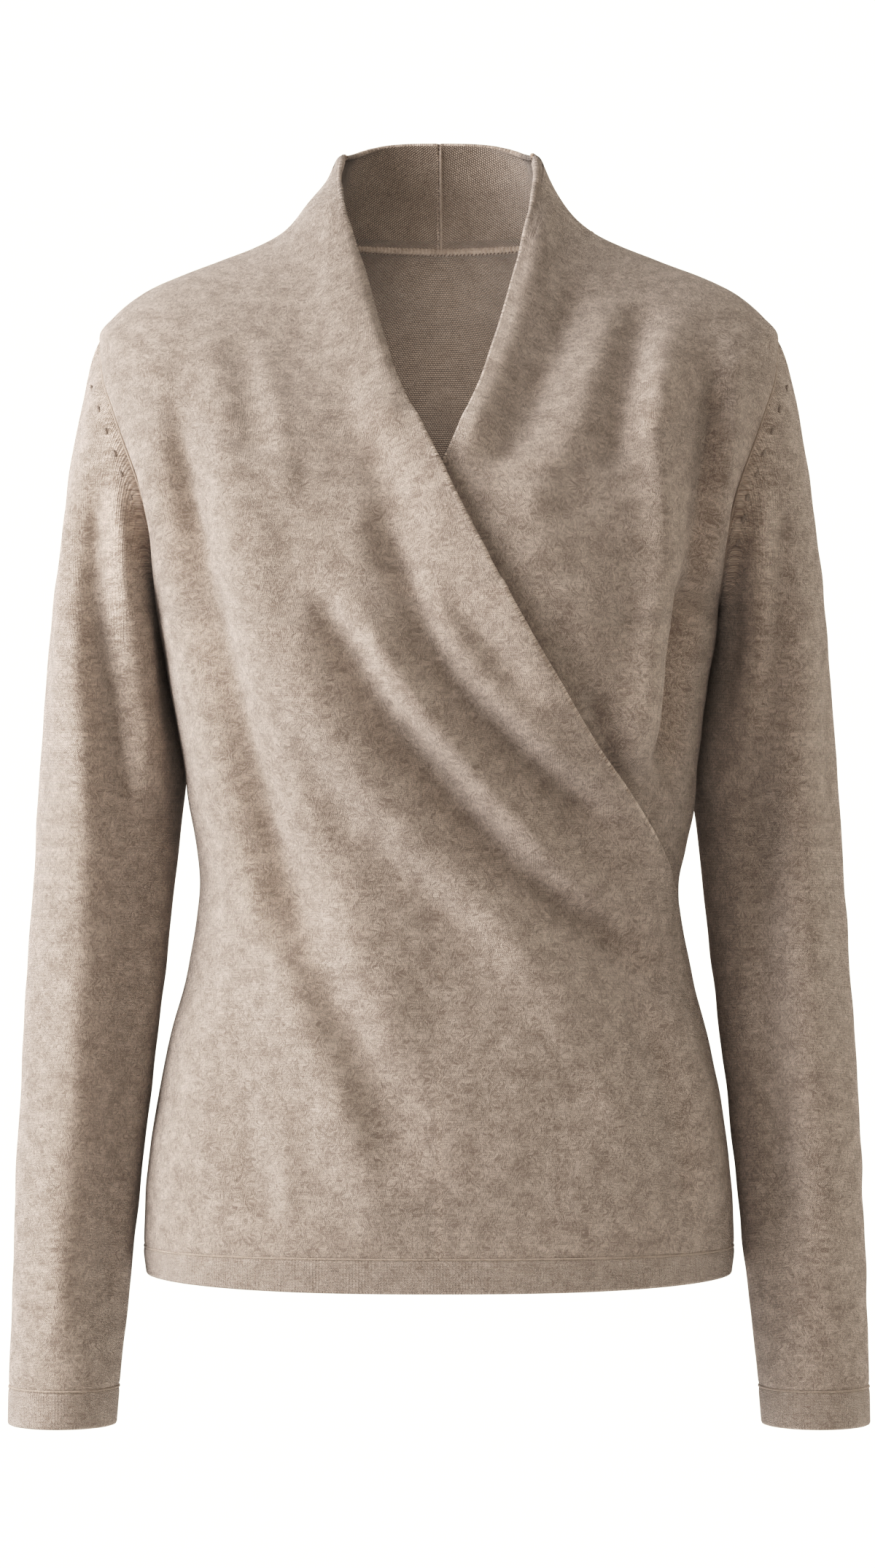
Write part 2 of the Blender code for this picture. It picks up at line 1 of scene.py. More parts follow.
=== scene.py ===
"""Looks of the wrap-front pullover: fine knitted cashmere with a soft nap, in its worn form.

Lengths in the tables and in the shaping functions are millimetres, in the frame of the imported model:
+Z up, the wearer faces -Y, the wearer's left is +X. A panel's surface is a grid of rows and columns on
the garment's form. A row's place round the form is `around`: 0 at centre front, 1 at the side seam,
armhole or shoulder seam, 2 at centre back, negative on the wearer's right.
"""

import math
from collections import namedtuple

import bpy
import numpy as np
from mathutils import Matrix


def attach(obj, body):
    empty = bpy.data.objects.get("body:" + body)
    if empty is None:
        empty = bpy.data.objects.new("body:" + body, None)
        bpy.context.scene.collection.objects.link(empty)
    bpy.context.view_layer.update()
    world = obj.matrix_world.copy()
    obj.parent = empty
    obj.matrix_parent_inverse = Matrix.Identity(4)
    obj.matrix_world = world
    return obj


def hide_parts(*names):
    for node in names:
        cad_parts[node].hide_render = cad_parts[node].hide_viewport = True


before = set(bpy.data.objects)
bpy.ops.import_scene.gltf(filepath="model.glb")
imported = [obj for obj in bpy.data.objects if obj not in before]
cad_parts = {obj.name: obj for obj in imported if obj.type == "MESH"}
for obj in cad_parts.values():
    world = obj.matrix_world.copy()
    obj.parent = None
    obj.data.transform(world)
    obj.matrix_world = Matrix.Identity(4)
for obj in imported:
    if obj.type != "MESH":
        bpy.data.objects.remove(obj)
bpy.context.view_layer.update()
MM = 0.001

# Cloth
WALL = 2.0                # knitted cloth with its nap
BAND_WALL = 2.6           # doubled hem and cuff bands
BAND_LIFT = 0.25          # the bands' outer face above the form
LAYER_LIFT = 10.0         # over front above the form, at the crossing edge
UNDER_LIFT = 6.0          # hump of the under front beside the crossing edge
HIDDEN_DROP = 17.0        # under front below the form, behind the folds of the over front
SEAM_DROP = 3.2           # the same where it is sewn in with the over front

# Where the fronts lie on each other
PARTING_Z = -78.0         # the fronts part below this height, within this run
PARTING_RUN = 35.0
FREE_EDGE_Z = -80.0       # the over front's folds keep off its edge below this height
EDGE_SLANT = 0.87         # distance square to the edge for each millimetre straight across
LIFT_WIDTH = 40.0         # the over front's lift fades inwards in this width
LIFT_AT_SEAM = 0.05       # share of the lift left at the side seam, and the width in which it grows
LIFT_SIDE_FADE = 90.0
UNDER_LIFT_PLACE = 30.0   # the under front's hump: how far out from the crossing edge, and half width
UNDER_LIFT_WIDTH = 18.0
PRESSED = 0.5             # the under front starts to go in so far outside the crossing edge,
PRESSED_AT_SEAM = 12.0    # so much farther out near the side seam, and is fully in after this run
PRESSED_RUN = 26.0
FRONT_GIRTH = 0.8         # from centre front to the side seam, as a share of half width plus depth
EDGE_AT_SEAM_Z = -386.0   # the front edge meets the side seam here, and hangs free above this run
EDGE_FREE_RUN = 25.0

# Widths in which the folds grow to full height
SIDE_FADE = 15.0
HEM_FADE = 45.0
EDGE_FADE = 26.0          # of the over front's folds towards its edge, from so far outside it
EDGE_REACH = 4.0
UNDER_FADE = 14.0
BACK_SIDE_FADE = 20.0
BACK_NECK_FADE = 14.0
SLEEVE_TOP_FADE = 30.0
SLEEVE_CUFF_FADE = 40.0
FOLD_END = 0.18           # share of a fold's length in which it fades out, and its height at the end
FOLD_END_HEIGHT = 0.1

# Slow unevenness of hanging cloth: so many waves of each length, so high for each millimetre of it
UNEVEN_LENGTHS = (90, 64, 47, 33, 24)
UNEVEN_WAVES = 2
UNEVEN_HEIGHT = 0.0034
UNEVEN_ON_SLEEVES = 0.8   # share of it that the sleeves have
UNEVEN_SEEDS = {"over": 4, "under": 5, "back": 7, "left": 3, "right": 4}

# Seams and edges
SEAM_ROUND = 0.6          # how far a sewn edge stands back from its seam
SEAM_CLOSE = 0.78         # how far its rim rounds over into the seam, so that no light comes through
SEAM_TUCK = 1.6           # the same where a piece tucks into its band
SEAM_DIP = 0.55           # depth and half width of the soft valley beside a seam
SEAM_DIP_WIDTH = 1.7
EDGE_ROLL = 0.9           # the free front edge stands up and in by these, and fades in this width
EDGE_ROLL_IN = 1.1
EDGE_ROLL_WIDTH = 4.2
UNDER_ROLL_Z = -150.0     # the under front's edge starts to roll above this height, within this run
UNDER_ROLL_RUN = 30.0
TOP_ROLL = 0.5            # the same rolls on the collar's top edge
TOP_ROLL_IN = 0.6
TOP_ROLL_WIDTH = 3.2
CORNER_DROP = 2.5         # how far the collar's top comes down beside the front edge, fading in this
CORNER_WIDTH = 12.0       # width along the top, and in this run down the collar
CORNER_RUN = 20.0
TOP_LEAN = 3.4            # how far the collar's top leans inwards at the sides of the neck, and the run
TOP_LEAN_RUN = 8.0        # below the top edge in which it does

# Grid steps, from a boundary inwards or evenly along
SEAM_STEPS = [SEAM_ROUND, 1.4, 2.6, 4.2, 6.2]
EDGE_STEPS = [1.9, 2.7, 3.8, 5.2, 7.0, 9.2]
NECK_STEPS = [0.0, 1.4, 2.6, 4.2]
TOP_STEPS = [1.4, 2.3, 3.4, 4.8]
COLLAR_BACK_STEPS = [0.5, 1.3, 2.6]
COLLAR_SIDE_STEPS = [2.5]
BAND_SEAM_STEPS = [SEAM_ROUND, 1.4, 2.6]
BAND_EDGE_STEPS = [1.3, 2.0, 3.0]
ROW_STEP = 2.8
ARMHOLE_STEP = 3.2
SHOULDER_STEP = 2.6
COLLAR_STEP = 2.3
SLEEVE_STEP = 2.7
BAND_STEP = 2.4
FRONT_COLUMNS = 150
COLLAR_COLUMNS = 44
BACK_COLUMNS = 74
HEM_COLUMNS = 140

# Finding places on the form
LEAST_LENGTH = 1e-9
LEVEL_SAMPLES = 600
ROUND_SAMPLES = 400
RING_SAMPLES = 800
ROUTE_SAMPLES = 6         # for each point of a fold's route
HALVINGS = 40             # rounds that close in on the front edge
NUDGE = 1e-6              # to just one side of a seam
FORM_STEPS = (1e-4, 0.02)             # round and up the form, to find which way it faces
CROSSING_STEP = 0.01      # back along a row, to find the angle at which it meets the front edge
CROSSING_ROWS = 5         # rows over which the angle at the front edge is evened out
LEAST_CROSSING = 0.22     # least sine of that angle
LEAST_FACING = 0.3        # a face that turns farther from the form (cosine) is thickened square to it
LEAST_TURN = 0.45         # least share of facing forwards in the distance to the front edge
SETTLE_TURNS = 3          # rounds in which a fold finds its place on the moved cloth
SETTLE_TOP = -50.0        # it does so below this height and where the cloth doesn't face sideways
SETTLE_RUN = 60.0
SETTLE_SIDEWAYS = 0.35
SETTLE_FADE = 0.45

# Levels of the form, from the hem up: heights at centre front, at the side and at centre back; half
# width; how far the panels' edges stand in front of and behind mid_y, as they do round the armhole;
# depth in front of and behind mid_y; and how boxy the outline is across and in depth (2 is an ellipse).
Row = namedtuple("Row", "front side back side_x front_out back_out front_d back_d mid_y wide deep")
TORSO = [
    Row(-607, -603, -606, 172.0, 0, 0, 109, 112, 0, 2.6, 2.45),
    Row(-587, -587, -587, 173.6, 0, 0, 110.5, 114, 0, 2.6, 2.45),
    Row(-540, -540, -540, 171.0, 0, 0, 111, 117, 0, 2.5, 2.4),
    Row(-473, -473, -473, 160.2, 0, 0, 107, 113, 0, 2.4, 2.3),
    Row(-420, -420, -420, 146.5, 0, 0, 102, 101, 0, 2.3, 2.2),
    Row(-374, -374, -374, 140.0, 0, 0, 99, 91, 0, 2.3, 2.2),
    Row(-318, -318, -318, 147.0, 0, 0, 107, 93, 0, 2.3, 2.2),
    Row(-262, -258, -260, 157.0, 0, 0, 120, 101, 0, 2.3, 2.2),
    Row(-232, -222, -228, 163.0, 0, 0, 120, 105, 0, 2.3, 2.2),
]
ARMHOLE = [
    Row(-222, -205, -216, 164.3, 24, 30, 119.2, 106, 0, 2.3, 2.2),
    Row(-212, -188, -205, 166.0, 37, 46, 117.8, 107, 0, 2.25, 2.15),
    Row(-202, -170, -194, 168.2, 44, 55, 116, 107.5, 1, 2.2, 2.1),
    Row(-192, -152, -182, 171.8, 46, 59, 114.2, 107.5, 1, 2.15, 2.1),
    Row(-182, -134, -169, 177.6, 45, 60, 112.2, 106.5, 2, 2.1, 2.05),
    Row(-172, -115, -155, 184.8, 41, 56, 110.2, 105, 3, 2.05, 2),
    Row(-162, -96, -139, 191.6, 34, 48, 108.2, 103, 4, 2, 2),
    Row(-152.5, -77, -121, 197.8, 23, 35, 106.2, 100, 5, 2, 2),
    Row(-143, -53, -98, 200.4, 0, 0, 104, 96, 6, 2, 2),
]
SHOULDER = [
    Row(-134, -39.5, -83, 191.0, 0, 0, 101, 93, 7, 2, 2),
    Row(-125, -25.4, -67, 173.4, 0, 0, 98, 90, 8, 2, 2),
    Row(-115, -15.4, -50, 151.6, 0, 0, 94, 86, 9, 2, 2),
    Row(-104, -6.4, -32, 128.6, 0, 0, 89, 79, 10, 2, 2),
    Row(-92, 1.2, -14, 109.0, 0, 0, 84, 71, 10, 2, 2),
    Row(-80, 8.6, 4, 93.4, 0, 0, 79, 63, 10, 2, 2.05),
]
COLLAR = [
    Row(-70, 19.0, 17, 80.2, 0, 0, 73, 58, 10, 2.05, 2.1),
    Row(-60, 30.0, 31, 71.8, 0, 0, 67, 54.5, 10, 2.1, 2.15),
    Row(-50, 40.0, 44, 66.2, 0, 0, 61, 52, 10, 2.3, 2.2),
    Row(-40, 50.0, 57, 61.9, 0, 0, 56, 50, 10, 2.6, 2.25),
    Row(-31, 58.5, 68.5, 58.4, 0, 0, 52, 48.5, 10, 3.0, 2.3),
]
FORM = TORSO + ARMHOLE + SHOULDER + COLLAR
HEM_LEVEL = TORSO[0].front
HEM_SEAM = TORSO[1].front
UNDERARM = TORSO[-1].front
SHOULDER_POINT = ARMHOLE[-1].front
NECK = SHOULDER[-1].front
COLLAR_TOP = COLLAR[-1].front

# Front edge of the over front, seen from the front. The under front has the mirror image of it.
Edge = namedtuple("Edge", "z x")
FRONT_EDGE = [
    Edge(58, -57.2), Edge(45, -56.8), Edge(31.7, -55.5), Edge(13, -51), Edge(-10, -44.8), Edge(-32, -38.7),
    Edge(-54, -32.3), Edge(-76, -25.1), Edge(-97, -17.1), Edge(-118, -7.5), Edge(-135, 1.2),
    Edge(-168, 17.4), Edge(-200, 34), Edge(-230, 50.8), Edge(-259, 67.3), Edge(-291, 86.6),
    Edge(-321, 105.7), Edge(-345, 119.4), Edge(-365, 129.5), Edge(-386, 138.5), Edge(-396, 145),
    Edge(-460, 190), Edge(-620, 300),
]

# Folds. height is the crest (or trough, negative); left and right are its half widths on either side,
# as one looks at the front, and grow by widen along it; the route runs down the cloth as (x, z).
Fold = namedtuple("Fold", "height left right widen route")
OVER_FOLDS = [
    Fold(10.0, 22, 8, 0.8, [(-61, 44), (-58, 26), (-54, 4), (-46, -34), (-34, -72), (-14, -118)]),
    Fold(-1.6, 30, 14, 1.0, [(-96, -10), (-78, -50), (-58, -96), (-38, -140), (-18, -180)]),
    Fold(7.6, 12, 8, 1.6, [(-166, -74), (-163, -118), (-151, -202), (-130, -285), (-112, -360), (-98, -414),
                           (-66, -490), (-50, -535), (-42, -566)]),
    Fold(-10.2, 8, 9, 1.7, [(-152, -74), (-148, -118), (-134, -202), (-111, -285), (-90, -360), (-70, -414),
                           (-36, -490), (-20, -530), (-12, -560)]),
    Fold(6.0, 12, 18, 1.2, [(-132, -60), (-126, -118), (-113, -202), (-94, -285), (-68, -366), (-36, -450),
                            (-22, -510)]),
    Fold(-3.6, 9, 8, 1.2, [(-116, -52), (-109, -92), (-103, -134)]),
    Fold(2.0, 8, 8, 1.0, [(-104, -56), (-94, -110), (-84, -156)]),
    Fold(-3.6, 10, 9, 1.3, [(-86, -280), (-64, -322), (-28, -364), (14, -408), (44, -440)]),
    Fold(6.6, 12, 13, 1.2, [(-96, -216), (-66, -284), (-34, -326), (8, -368), (48, -410), (80, -446),
                            (102, -480)]),
    Fold(-13.0, 10, 8, 1.2, [(-76, -196), (-50, -240), (-24, -284), (10, -326), (48, -368), (100, -410),
                             (138, -440)]),
    Fold(7.4, 9, 9, 1.1, [(-66, -194), (-36, -240), (0, -284), (33, -326), (70, -366), (114, -396)]),
    Fold(-12.0, 10, 7, 1.2, [(-40, -150), (-18, -200), (-2, -243), (34, -286), (66, -316), (106, -350)]),
    Fold(5.0, 8, 9, 1.2, [(-28, -158), (-6, -200), (17, -243), (50, -286), (84, -318)]),
    Fold(-5.4, 9, 8, 1.1, [(-50, -104), (-24, -156), (-4, -200), (34, -246), (62, -282)]),
    Fold(2.0, 4, 4, 1.0, [(44, -312), (80, -342), (120, -375)]),
    Fold(2.0, 4, 4, 1.0, [(40, -330), (76, -360), (114, -388)]),
    Fold(-2.4, 6, 6, 1.0, [(-14, -372), (30, -412), (70, -452), (98, -488)]),
    Fold(2.6, 7, 6, 1.0, [(20, -404), (60, -442), (92, -486), (110, -522)]),
    Fold(-5.0, 10, 9, 1.0, [(104, -430), (124, -476), (136, -520), (142, -580)]),
    Fold(5.6, 10, 9, 1.0, [(124, -426), (142, -474), (152, -512), (158, -580)]),
    Fold(-4.6, 12, 12, 1.0, [(-118, -490), (-104, -545), (-94, -600)]),
    Fold(2.4, 10, 9, 1.0, [(-104, -470), (-92, -520), (-84, -566)]),
    Fold(9.0, 16, 56, 1.0, [(-92, -380), (-66, -440), (-44, -500), (-34, -560), (-30, -640)]),
]
UNDER_FOLDS = [
    Fold(4.0, 6, 8, 1.0, [(62, 34), (52, -22), (34, -76), (17, -118), (4, -146)]),
    Fold(-5.0, 9, 8, 1.0, [(84, -16), (71, -56), (57, -88), (42, -118), (30, -150)]),
    Fold(3.8, 9, 9, 1.2, [(100, -34), (84, -90), (66, -130), (48, -175)]),
    Fold(-5.0, 9, 8, 1.0, [(122, -30), (110, -78), (103, -112), (98, -142)]),
    Fold(8.0, 10, 12, 1.0, [(138, -36), (128, -85), (126, -118), (130, -152), (131, -185), (125, -218),
                            (119, -251), (113, -285), (107, -318)]),
    Fold(-10.5, 12, 6, 1.0, [(160, -54), (157, -118), (153, -152), (150, -185), (147, -218), (142, -251),
                             (136, -285), (125, -322)]),
    Fold(5.5, 5, 6, 1.0, [(174, -74), (168, -118), (163, -152), (158, -185), (155, -218), (150, -251),
                          (145, -285), (136, -318)]),
    Fold(5.5, 10, 12, 1.0, [(129, -195), (119, -251), (113, -285), (107, -318)]),
    Fold(-10.0, 12, 7, 1.0, [(149, -195), (142, -251), (136, -285), (125, -322)]),
    Fold(-6.0, 8, 7, 1.0, [(84, -258), (91, -290), (99, -330)]),
]
BACK_FOLDS = [
    Fold(2.8, 14, 11, 1.3, [(-126, -86), (-112, -170), (-100, -250), (-92, -330)]),
    Fold(-3.2, 11, 12, 1.3, [(-106, -104), (-88, -200), (-78, -290), (-72, -362)]),
    Fold(2.4, 14, 16, 1.2, [(-58, -160), (-46, -260), (-42, -350), (-50, -440)]),
    Fold(-2.6, 12, 13, 1.2, [(4, -196), (10, -300), (8, -380), (-4, -450)]),
    Fold(2.6, 13, 12, 1.3, [(60, -136), (50, -240), (44, -330), (50, -420)]),
    Fold(-3.0, 11, 12, 1.3, [(106, -96), (90, -190), (80, -280), (80, -362)]),
    Fold(2.8, 12, 11, 1.2, [(136, -104), (120, -200), (106, -296)]),
    Fold(2.6, 11, 13, 1.0, [(-136, -346), (-80, -364), (-20, -360), (40, -370)]),
    Fold(-3.0, 9, 11, 1.0, [(-130, -372), (-70, -388), (-10, -382)]),
    Fold(2.2, 11, 9, 1.0, [(-118, -404), (-66, -414), (-22, -408)]),
    Fold(2.6, 12, 10, 1.0, [(140, -338), (96, -360), (56, -366)]),
    Fold(-2.4, 9, 10, 1.0, [(136, -366), (90, -386), (52, -386)]),
]

# Rings of a sleeve, armhole to wrist, wearer's left: its outer and inner points, how far it reaches
# forwards and backwards, how far back the inner point lies, and how closely it hugs the armhole's curve.
Ring = namedtuple("Ring", "out_x out_z in_x in_z front_y back_y in_back hug")
SLEEVE_RINGS = [
    Ring(200.4, -53, 163.0, -222, -45, 60, 0, 1.0),
    Ring(205.4, -67, 163.4, -223, -47, 61, 2, 0.86),
    Ring(211.0, -92, 162.6, -226, -50, 62, 6, 0.62),
    Ring(217.0, -125, 161.4, -231, -53, 62.5, 10, 0.36),
    Ring(222.0, -163, 159.8, -238, -55, 62.5, 15, 0.14),
    Ring(226.8, -205, 157.6, -249, -56, 62, 18, 0.03),
    Ring(231.0, -252, 154.4, -267, -55, 60, 19, 0.0),
    Ring(234.8, -304, 149.0, -304, -53, 55, 18, 0.0),
    Ring(236.6, -340, 152.4, -340, -51, 51, 18, 0.0),
    Ring(240.0, -392, 157.6, -392, -49, 45, 9, 0.0),
    Ring(243.8, -450, 163.8, -450, -48, 40, 4, 0.0),
    Ring(247.4, -518, 171.4, -518, -48, 34, 0, 0.0),
    Ring(250.4, -592, 179.8, -592, -49, 27, 0, 0.0),
    Ring(252.4, -669, 187.6, -669, -51, 20, 0, 0.0),
    Ring(252.7, -691, 189.4, -691, -51.5, 18.5, 0, 0.0),
]
CUFF_RING = 13            # index of the ring at the cuff's seam

# Folds of each sleeve, seen from the front and from behind, in the frame of the wearer's left arm.
SleeveFolds = namedtuple("SleeveFolds", "front back")
SLEEVE_BACK_FOLDS = [
    Fold(2.6, 10, 9, 1.0, [(176, -246), (196, -260), (220, -254)]),
    Fold(-3.0, 8, 9, 1.0, [(170, -284), (190, -300), (218, -302)]),
    Fold(2.8, 9, 8, 1.0, [(168, -322), (190, -334), (220, -330)]),
    Fold(-2.4, 8, 9, 1.0, [(172, -356), (194, -364), (218, -352)]),
    Fold(2.0, 10, 10, 1.2, [(186, -400), (202, -470), (212, -560)]),
    Fold(-1.8, 9, 9, 1.0, [(206, -420), (220, -500), (228, -570)]),
]
LEFT_SLEEVE_FOLDS = SleeveFolds(
    front=[
        Fold(-4.0, 7, 8, 1.0, [(178, -130), (174, -180), (170, -230), (166, -272)]),
        Fold(5.0, 8, 8, 1.0, [(188, -130), (186, -200), (182, -256), (176, -310)]),
        Fold(-4.6, 8, 8, 1.0, [(198, -140), (197, -220), (193, -290)]),
        Fold(6.0, 14, 14, 1.2, [(206, -180), (210, -300), (215, -400), (221, -520), (227, -640)]),
        Fold(-8.2, 18, 11, 1.0, [(184, -270), (190, -380), (196, -480), (203, -610)]),
        Fold(-3.4, 8, 9, 1.2, [(226, -200), (228, -290), (230, -400), (234, -500)]),
    ],
    back=SLEEVE_BACK_FOLDS,
)
RIGHT_SLEEVE_FOLDS = SleeveFolds(
    front=[
        Fold(7.0, 9, 11, 1.3, [(207, -110), (213, -190), (212, -250), (208, -330), (208, -430)]),
        Fold(-9.6, 10, 9, 1.2, [(199, -126), (200, -190), (195, -240), (187, -290), (183, -350)]),
        Fold(8.6, 8, 10, 1.0, [(188, -124), (184, -190), (176, -240), (172, -290), (168, -340)]),
        Fold(5.4, 13, 13, 1.0, [(209, -400), (211, -480), (217, -580), (223, -660)]),
        Fold(-8.0, 12, 18, 1.0, [(172, -340), (178, -430), (188, -540), (198, -650)]),
    ],
    back=SLEEVE_BACK_FOLDS,
)
SLEEVE_FOLDS = {"left": LEFT_SLEEVE_FOLDS, "right": RIGHT_SLEEVE_FOLDS}

# Studio, in metres. Azimuths run from the front (0) to the wearer's left (90); heights are degrees
# above level.
CAMERA_LENS = 124.6
CAMERA_SENSOR = 36.0
CAMERA_PLACE = (-0.0009, -3.2, -0.316)
KEY_AZIMUTH = -73
KEY_HEIGHT = 22
KEY_DISTANCE = 1.9
KEY_SIZE = (1.2, 2.0)
KEY_POWER = 80.0
KEY_COLOR = (0.99, 1.0, 1.03)
KEY_TARGET = (0.0, 0.0, -0.28)
NECK_LIGHT_PLACE = (0.018, -0.005, -0.065)
NECK_LIGHT_SIZE = (0.05, 0.10)
NECK_LIGHT_TURN = -20
NECK_LIGHT_POWER = 0.09
Panel = namedtuple("Panel", "azimuth height sharpness color")
PANELS = [
    Panel(180, 0, 4, (2.2, 2.1, 2.0)),
    Panel(28, 24, 10, (1.06, 1.01, 0.89)),
    Panel(105, 5, 6, (2.45, 2.37, 2.20)),
    Panel(0, 85, 4, (0.95, 0.95, 0.95)),
    Panel(0, 45, 6, (0.52, 0.475, 0.45)),
]

Tone = namedtuple("Tone", "light shown")
TONE = [Tone(0, 0), Tone(0.08, 0.053), Tone(0.15, 0.122), Tone(0.3, 0.29), Tone(0.45, 0.45),
        Tone(0.6, 0.58), Tone(0.8, 0.71), Tone(1.1, 0.86), Tone(1.6, 1.0)]
BACKDROP = (1.7, 1.7, 1.581, 1)
FLOOR_Z = -1.35
FLOOR_RADIUS = 2.6
FLOOR_SIDES = 96
FLOOR_COLOR = (0.86, 0.85, 0.84, 1)
FLOOR_ROUGHNESS = 0.8

# Flat cut of each piece, in metres: the rectangle that it fits in, and its area where that is less.
Cut = namedtuple("Cut", "width length area")


# ---------------------------------------------------------------- curves and the form

def smooth_curve(places, values, at):
    """Cubic through the values that never overshoots them, at any number of places."""
    at = np.asarray(at, dtype=float)
    steps = np.diff(places)
    slopes = np.diff(values, axis=0) / steps[:, None]
    product = slopes[:-1] * slopes[1:]
    total = np.where(product > 0, slopes[:-1] + slopes[1:], 1)
    tangents = np.zeros_like(values)
    tangents[1:-1] = np.where(product > 0, 2 * product / total, 0)
    tangents[0] = slopes[0]
    tangents[-1] = slopes[-1]
    i = np.clip(np.searchsorted(places, at) - 1, 0, len(steps) - 1)
    h = steps[i][..., None]
    t = ((at - places[i]) / steps[i])[..., None]
    start = (1 + 2 * t) * (1 - t) ** 2 * values[i] + t * (1 - t) ** 2 * h * tangents[i]
    end = t * t * (3 - 2 * t) * values[i + 1] + t * t * (t - 1) * h * tangents[i + 1]
    return start + end


def columns(table):
    return np.array([list(row) for row in table], dtype=float)


FORM_COLUMNS = columns(FORM)
EDGE_COLUMNS = columns(FRONT_EDGE)[::-1]
RING_COLUMNS = columns(SLEEVE_RINGS)


def edge_x(z):
    return smooth_curve(EDGE_COLUMNS[:, 0], EDGE_COLUMNS[:, 1:], z)[..., 0]


def ramp(value, length):
    """0 at or below zero, 1 at or beyond the length, soft at both ends."""
    t = np.clip(value / length, 0.0, 1.0)
    return t * t * (3 - 2 * t)


def bell(value, width):
    """1 at zero, a half at the width, and soft to nothing beyond."""
    return 0.5 ** ((value / width) ** 2)


def unit(vectors):
    return vectors / np.maximum(np.linalg.norm(vectors, axis=-1, keepdims=True), LEAST_LENGTH)


def form_row(level):
    """The form's measures at these levels."""
    return Row(*np.moveaxis(smooth_curve(FORM_COLUMNS[:, 0], FORM_COLUMNS, level), -1, 0))


def form_points(around, level):
    """Outer face of the garment's form, without folds or layers."""
    around, level = np.broadcast_arrays(np.asarray(around, float), np.asarray(level, float))
    row = form_row(level)
    front = np.abs(around) <= 1.0
    part = np.where(front, np.abs(around), 2.0 - np.abs(around))
    edge_y = np.maximum(np.where(front, row.front_out, row.back_out), 0.0)
    depth = np.where(front, row.front_d, row.back_d)
    middle_z = np.where(front, row.front, row.back)
    facing = np.where(front, -1.0, 1.0)
    edge_angle = np.arccos((edge_y / depth) ** (row.deep / 2))
    angle = part * edge_angle
    reach = row.side_x / np.sin(edge_angle) ** (2 / row.wide)
    fall = (np.cos(angle) ** 2 - np.cos(edge_angle) ** 2) / np.sin(edge_angle) ** 2
    x = np.where(around < 0, -1.0, 1.0) * reach * np.maximum(np.sin(angle), 0.0) ** (2 / row.wide)
    y = row.mid_y + facing * depth * np.maximum(np.cos(angle), 0.0) ** (2 / row.deep)
    z = row.side + (middle_z - row.side) * fall
    return np.stack([x, y, z], axis=-1)


def form_normals(around, level):
    """Outward directions of the form."""
    a, b = FORM_STEPS
    level = np.minimum(level, COLLAR_TOP - b)
    across = form_points(around + a, level) - form_points(around - a, level)
    return unit(np.cross(across, form_points(around, level + b) - form_points(around, level - b)))


def run_along(points, axis=0):
    """Length from the start of each line of points, along the given axis."""
    lengths = np.linalg.norm(np.diff(points, axis=axis), axis=-1)
    pad = [(0, 0)] * lengths.ndim
    pad[axis] = (1, 0)
    return np.pad(np.cumsum(lengths, axis=axis), pad)


def spread(lengths, count, from_start, from_end):
    """count places along each length: at these distances from its ends, and evenly spaced between."""
    lengths = np.atleast_1d(lengths)
    near = np.broadcast_to(from_start, (len(lengths), np.shape(from_start)[-1]))
    far = lengths[:, None] - np.broadcast_to(from_end, (len(lengths), np.shape(from_end)[-1]))[:, ::-1]
    between = count - near.shape[1] - far.shape[1]
    share = (np.arange(between) + 1) / (between + 1)
    middle = near[:, -1:] + (far[:, :1] - near[:, -1:]) * share
    return np.concatenate([near, middle, far], axis=1)


def even_levels(first, last, around, step, from_start=(0.0,), from_end=(0.0,)):
    """Levels from first to last, a step apart along one line down the form."""
    fine = np.linspace(first, last, LEVEL_SAMPLES)
    run = run_along(form_points(around, fine))
    count = int(run[-1] / step) + len(from_start) + len(from_end)
    return np.interp(spread(run[-1], count, from_start, from_end)[0], run, fine)


ARMHOLE_LEVELS = even_levels(UNDERARM, SHOULDER_POINT, 1.0, ARMHOLE_STEP)
BODY_LEVELS = np.concatenate([
    even_levels(HEM_SEAM, UNDERARM, 1.0, ROW_STEP, from_start=SEAM_STEPS)[:-1],
    ARMHOLE_LEVELS[:-1],
    even_levels(SHOULDER_POINT, NECK, 1.0, SHOULDER_STEP, from_end=NECK_STEPS),
])
COLLAR_LEVELS = even_levels(NECK, COLLAR_TOP, 2.0, COLLAR_STEP, NECK_STEPS, TOP_STEPS)[1:]
FRONT_LEVELS = np.concatenate([BODY_LEVELS, COLLAR_LEVELS])
NECK_ROW = len(BODY_LEVELS) - 1


def nearest_on_route(route, x, z):
    """Distance to a route smoothed through its points, share of its length there, and the side of it."""
    points = np.array(route, dtype=float)
    corners = run_along(points)
    fine = np.linspace(0, corners[-1], ROUTE_SAMPLES * len(points))
    points = smooth_curve(corners, points, fine)
    run = run_along(points)
    gap = np.full(np.shape(x), np.inf)
    place = np.zeros(np.shape(x))
    right = np.zeros(np.shape(x), dtype=bool)
    for start, point, target in zip(run, points, points[1:]):
        length = float(np.linalg.norm(target - point))
        along = (target - point) / length
        dx, dz = x - point[0], z - point[1]
        t = np.clip(dx * along[0] + dz * along[1], 0, length)
        distance = np.hypot(dx - along[0] * t, dz - along[1] * t)
        closer = distance < gap
        gap = np.where(closer, distance, gap)
        place = np.where(closer, (start + t) / run[-1], place)
        right = np.where(closer, along[0] * dz - along[1] * dx > 0, right)
    return gap, place, right


def fold_height(folds, x, z):
    """Sum of the folds at places on the cloth; each fades out along its last stretches."""
    height = np.zeros(np.shape(x))
    for fold in folds:
        gap, place, right = nearest_on_route(fold.route, x, z)
        ends = ramp(place, FOLD_END) * ramp(1 - place, FOLD_END)
        share = FOLD_END_HEIGHT + (1 - FOLD_END_HEIGHT) * ends
        widths = np.where(right, fold.right, fold.left) * (1 + (fold.widen - 1) * place)
        height += fold.height * share * bell(gap, widths)
    return height


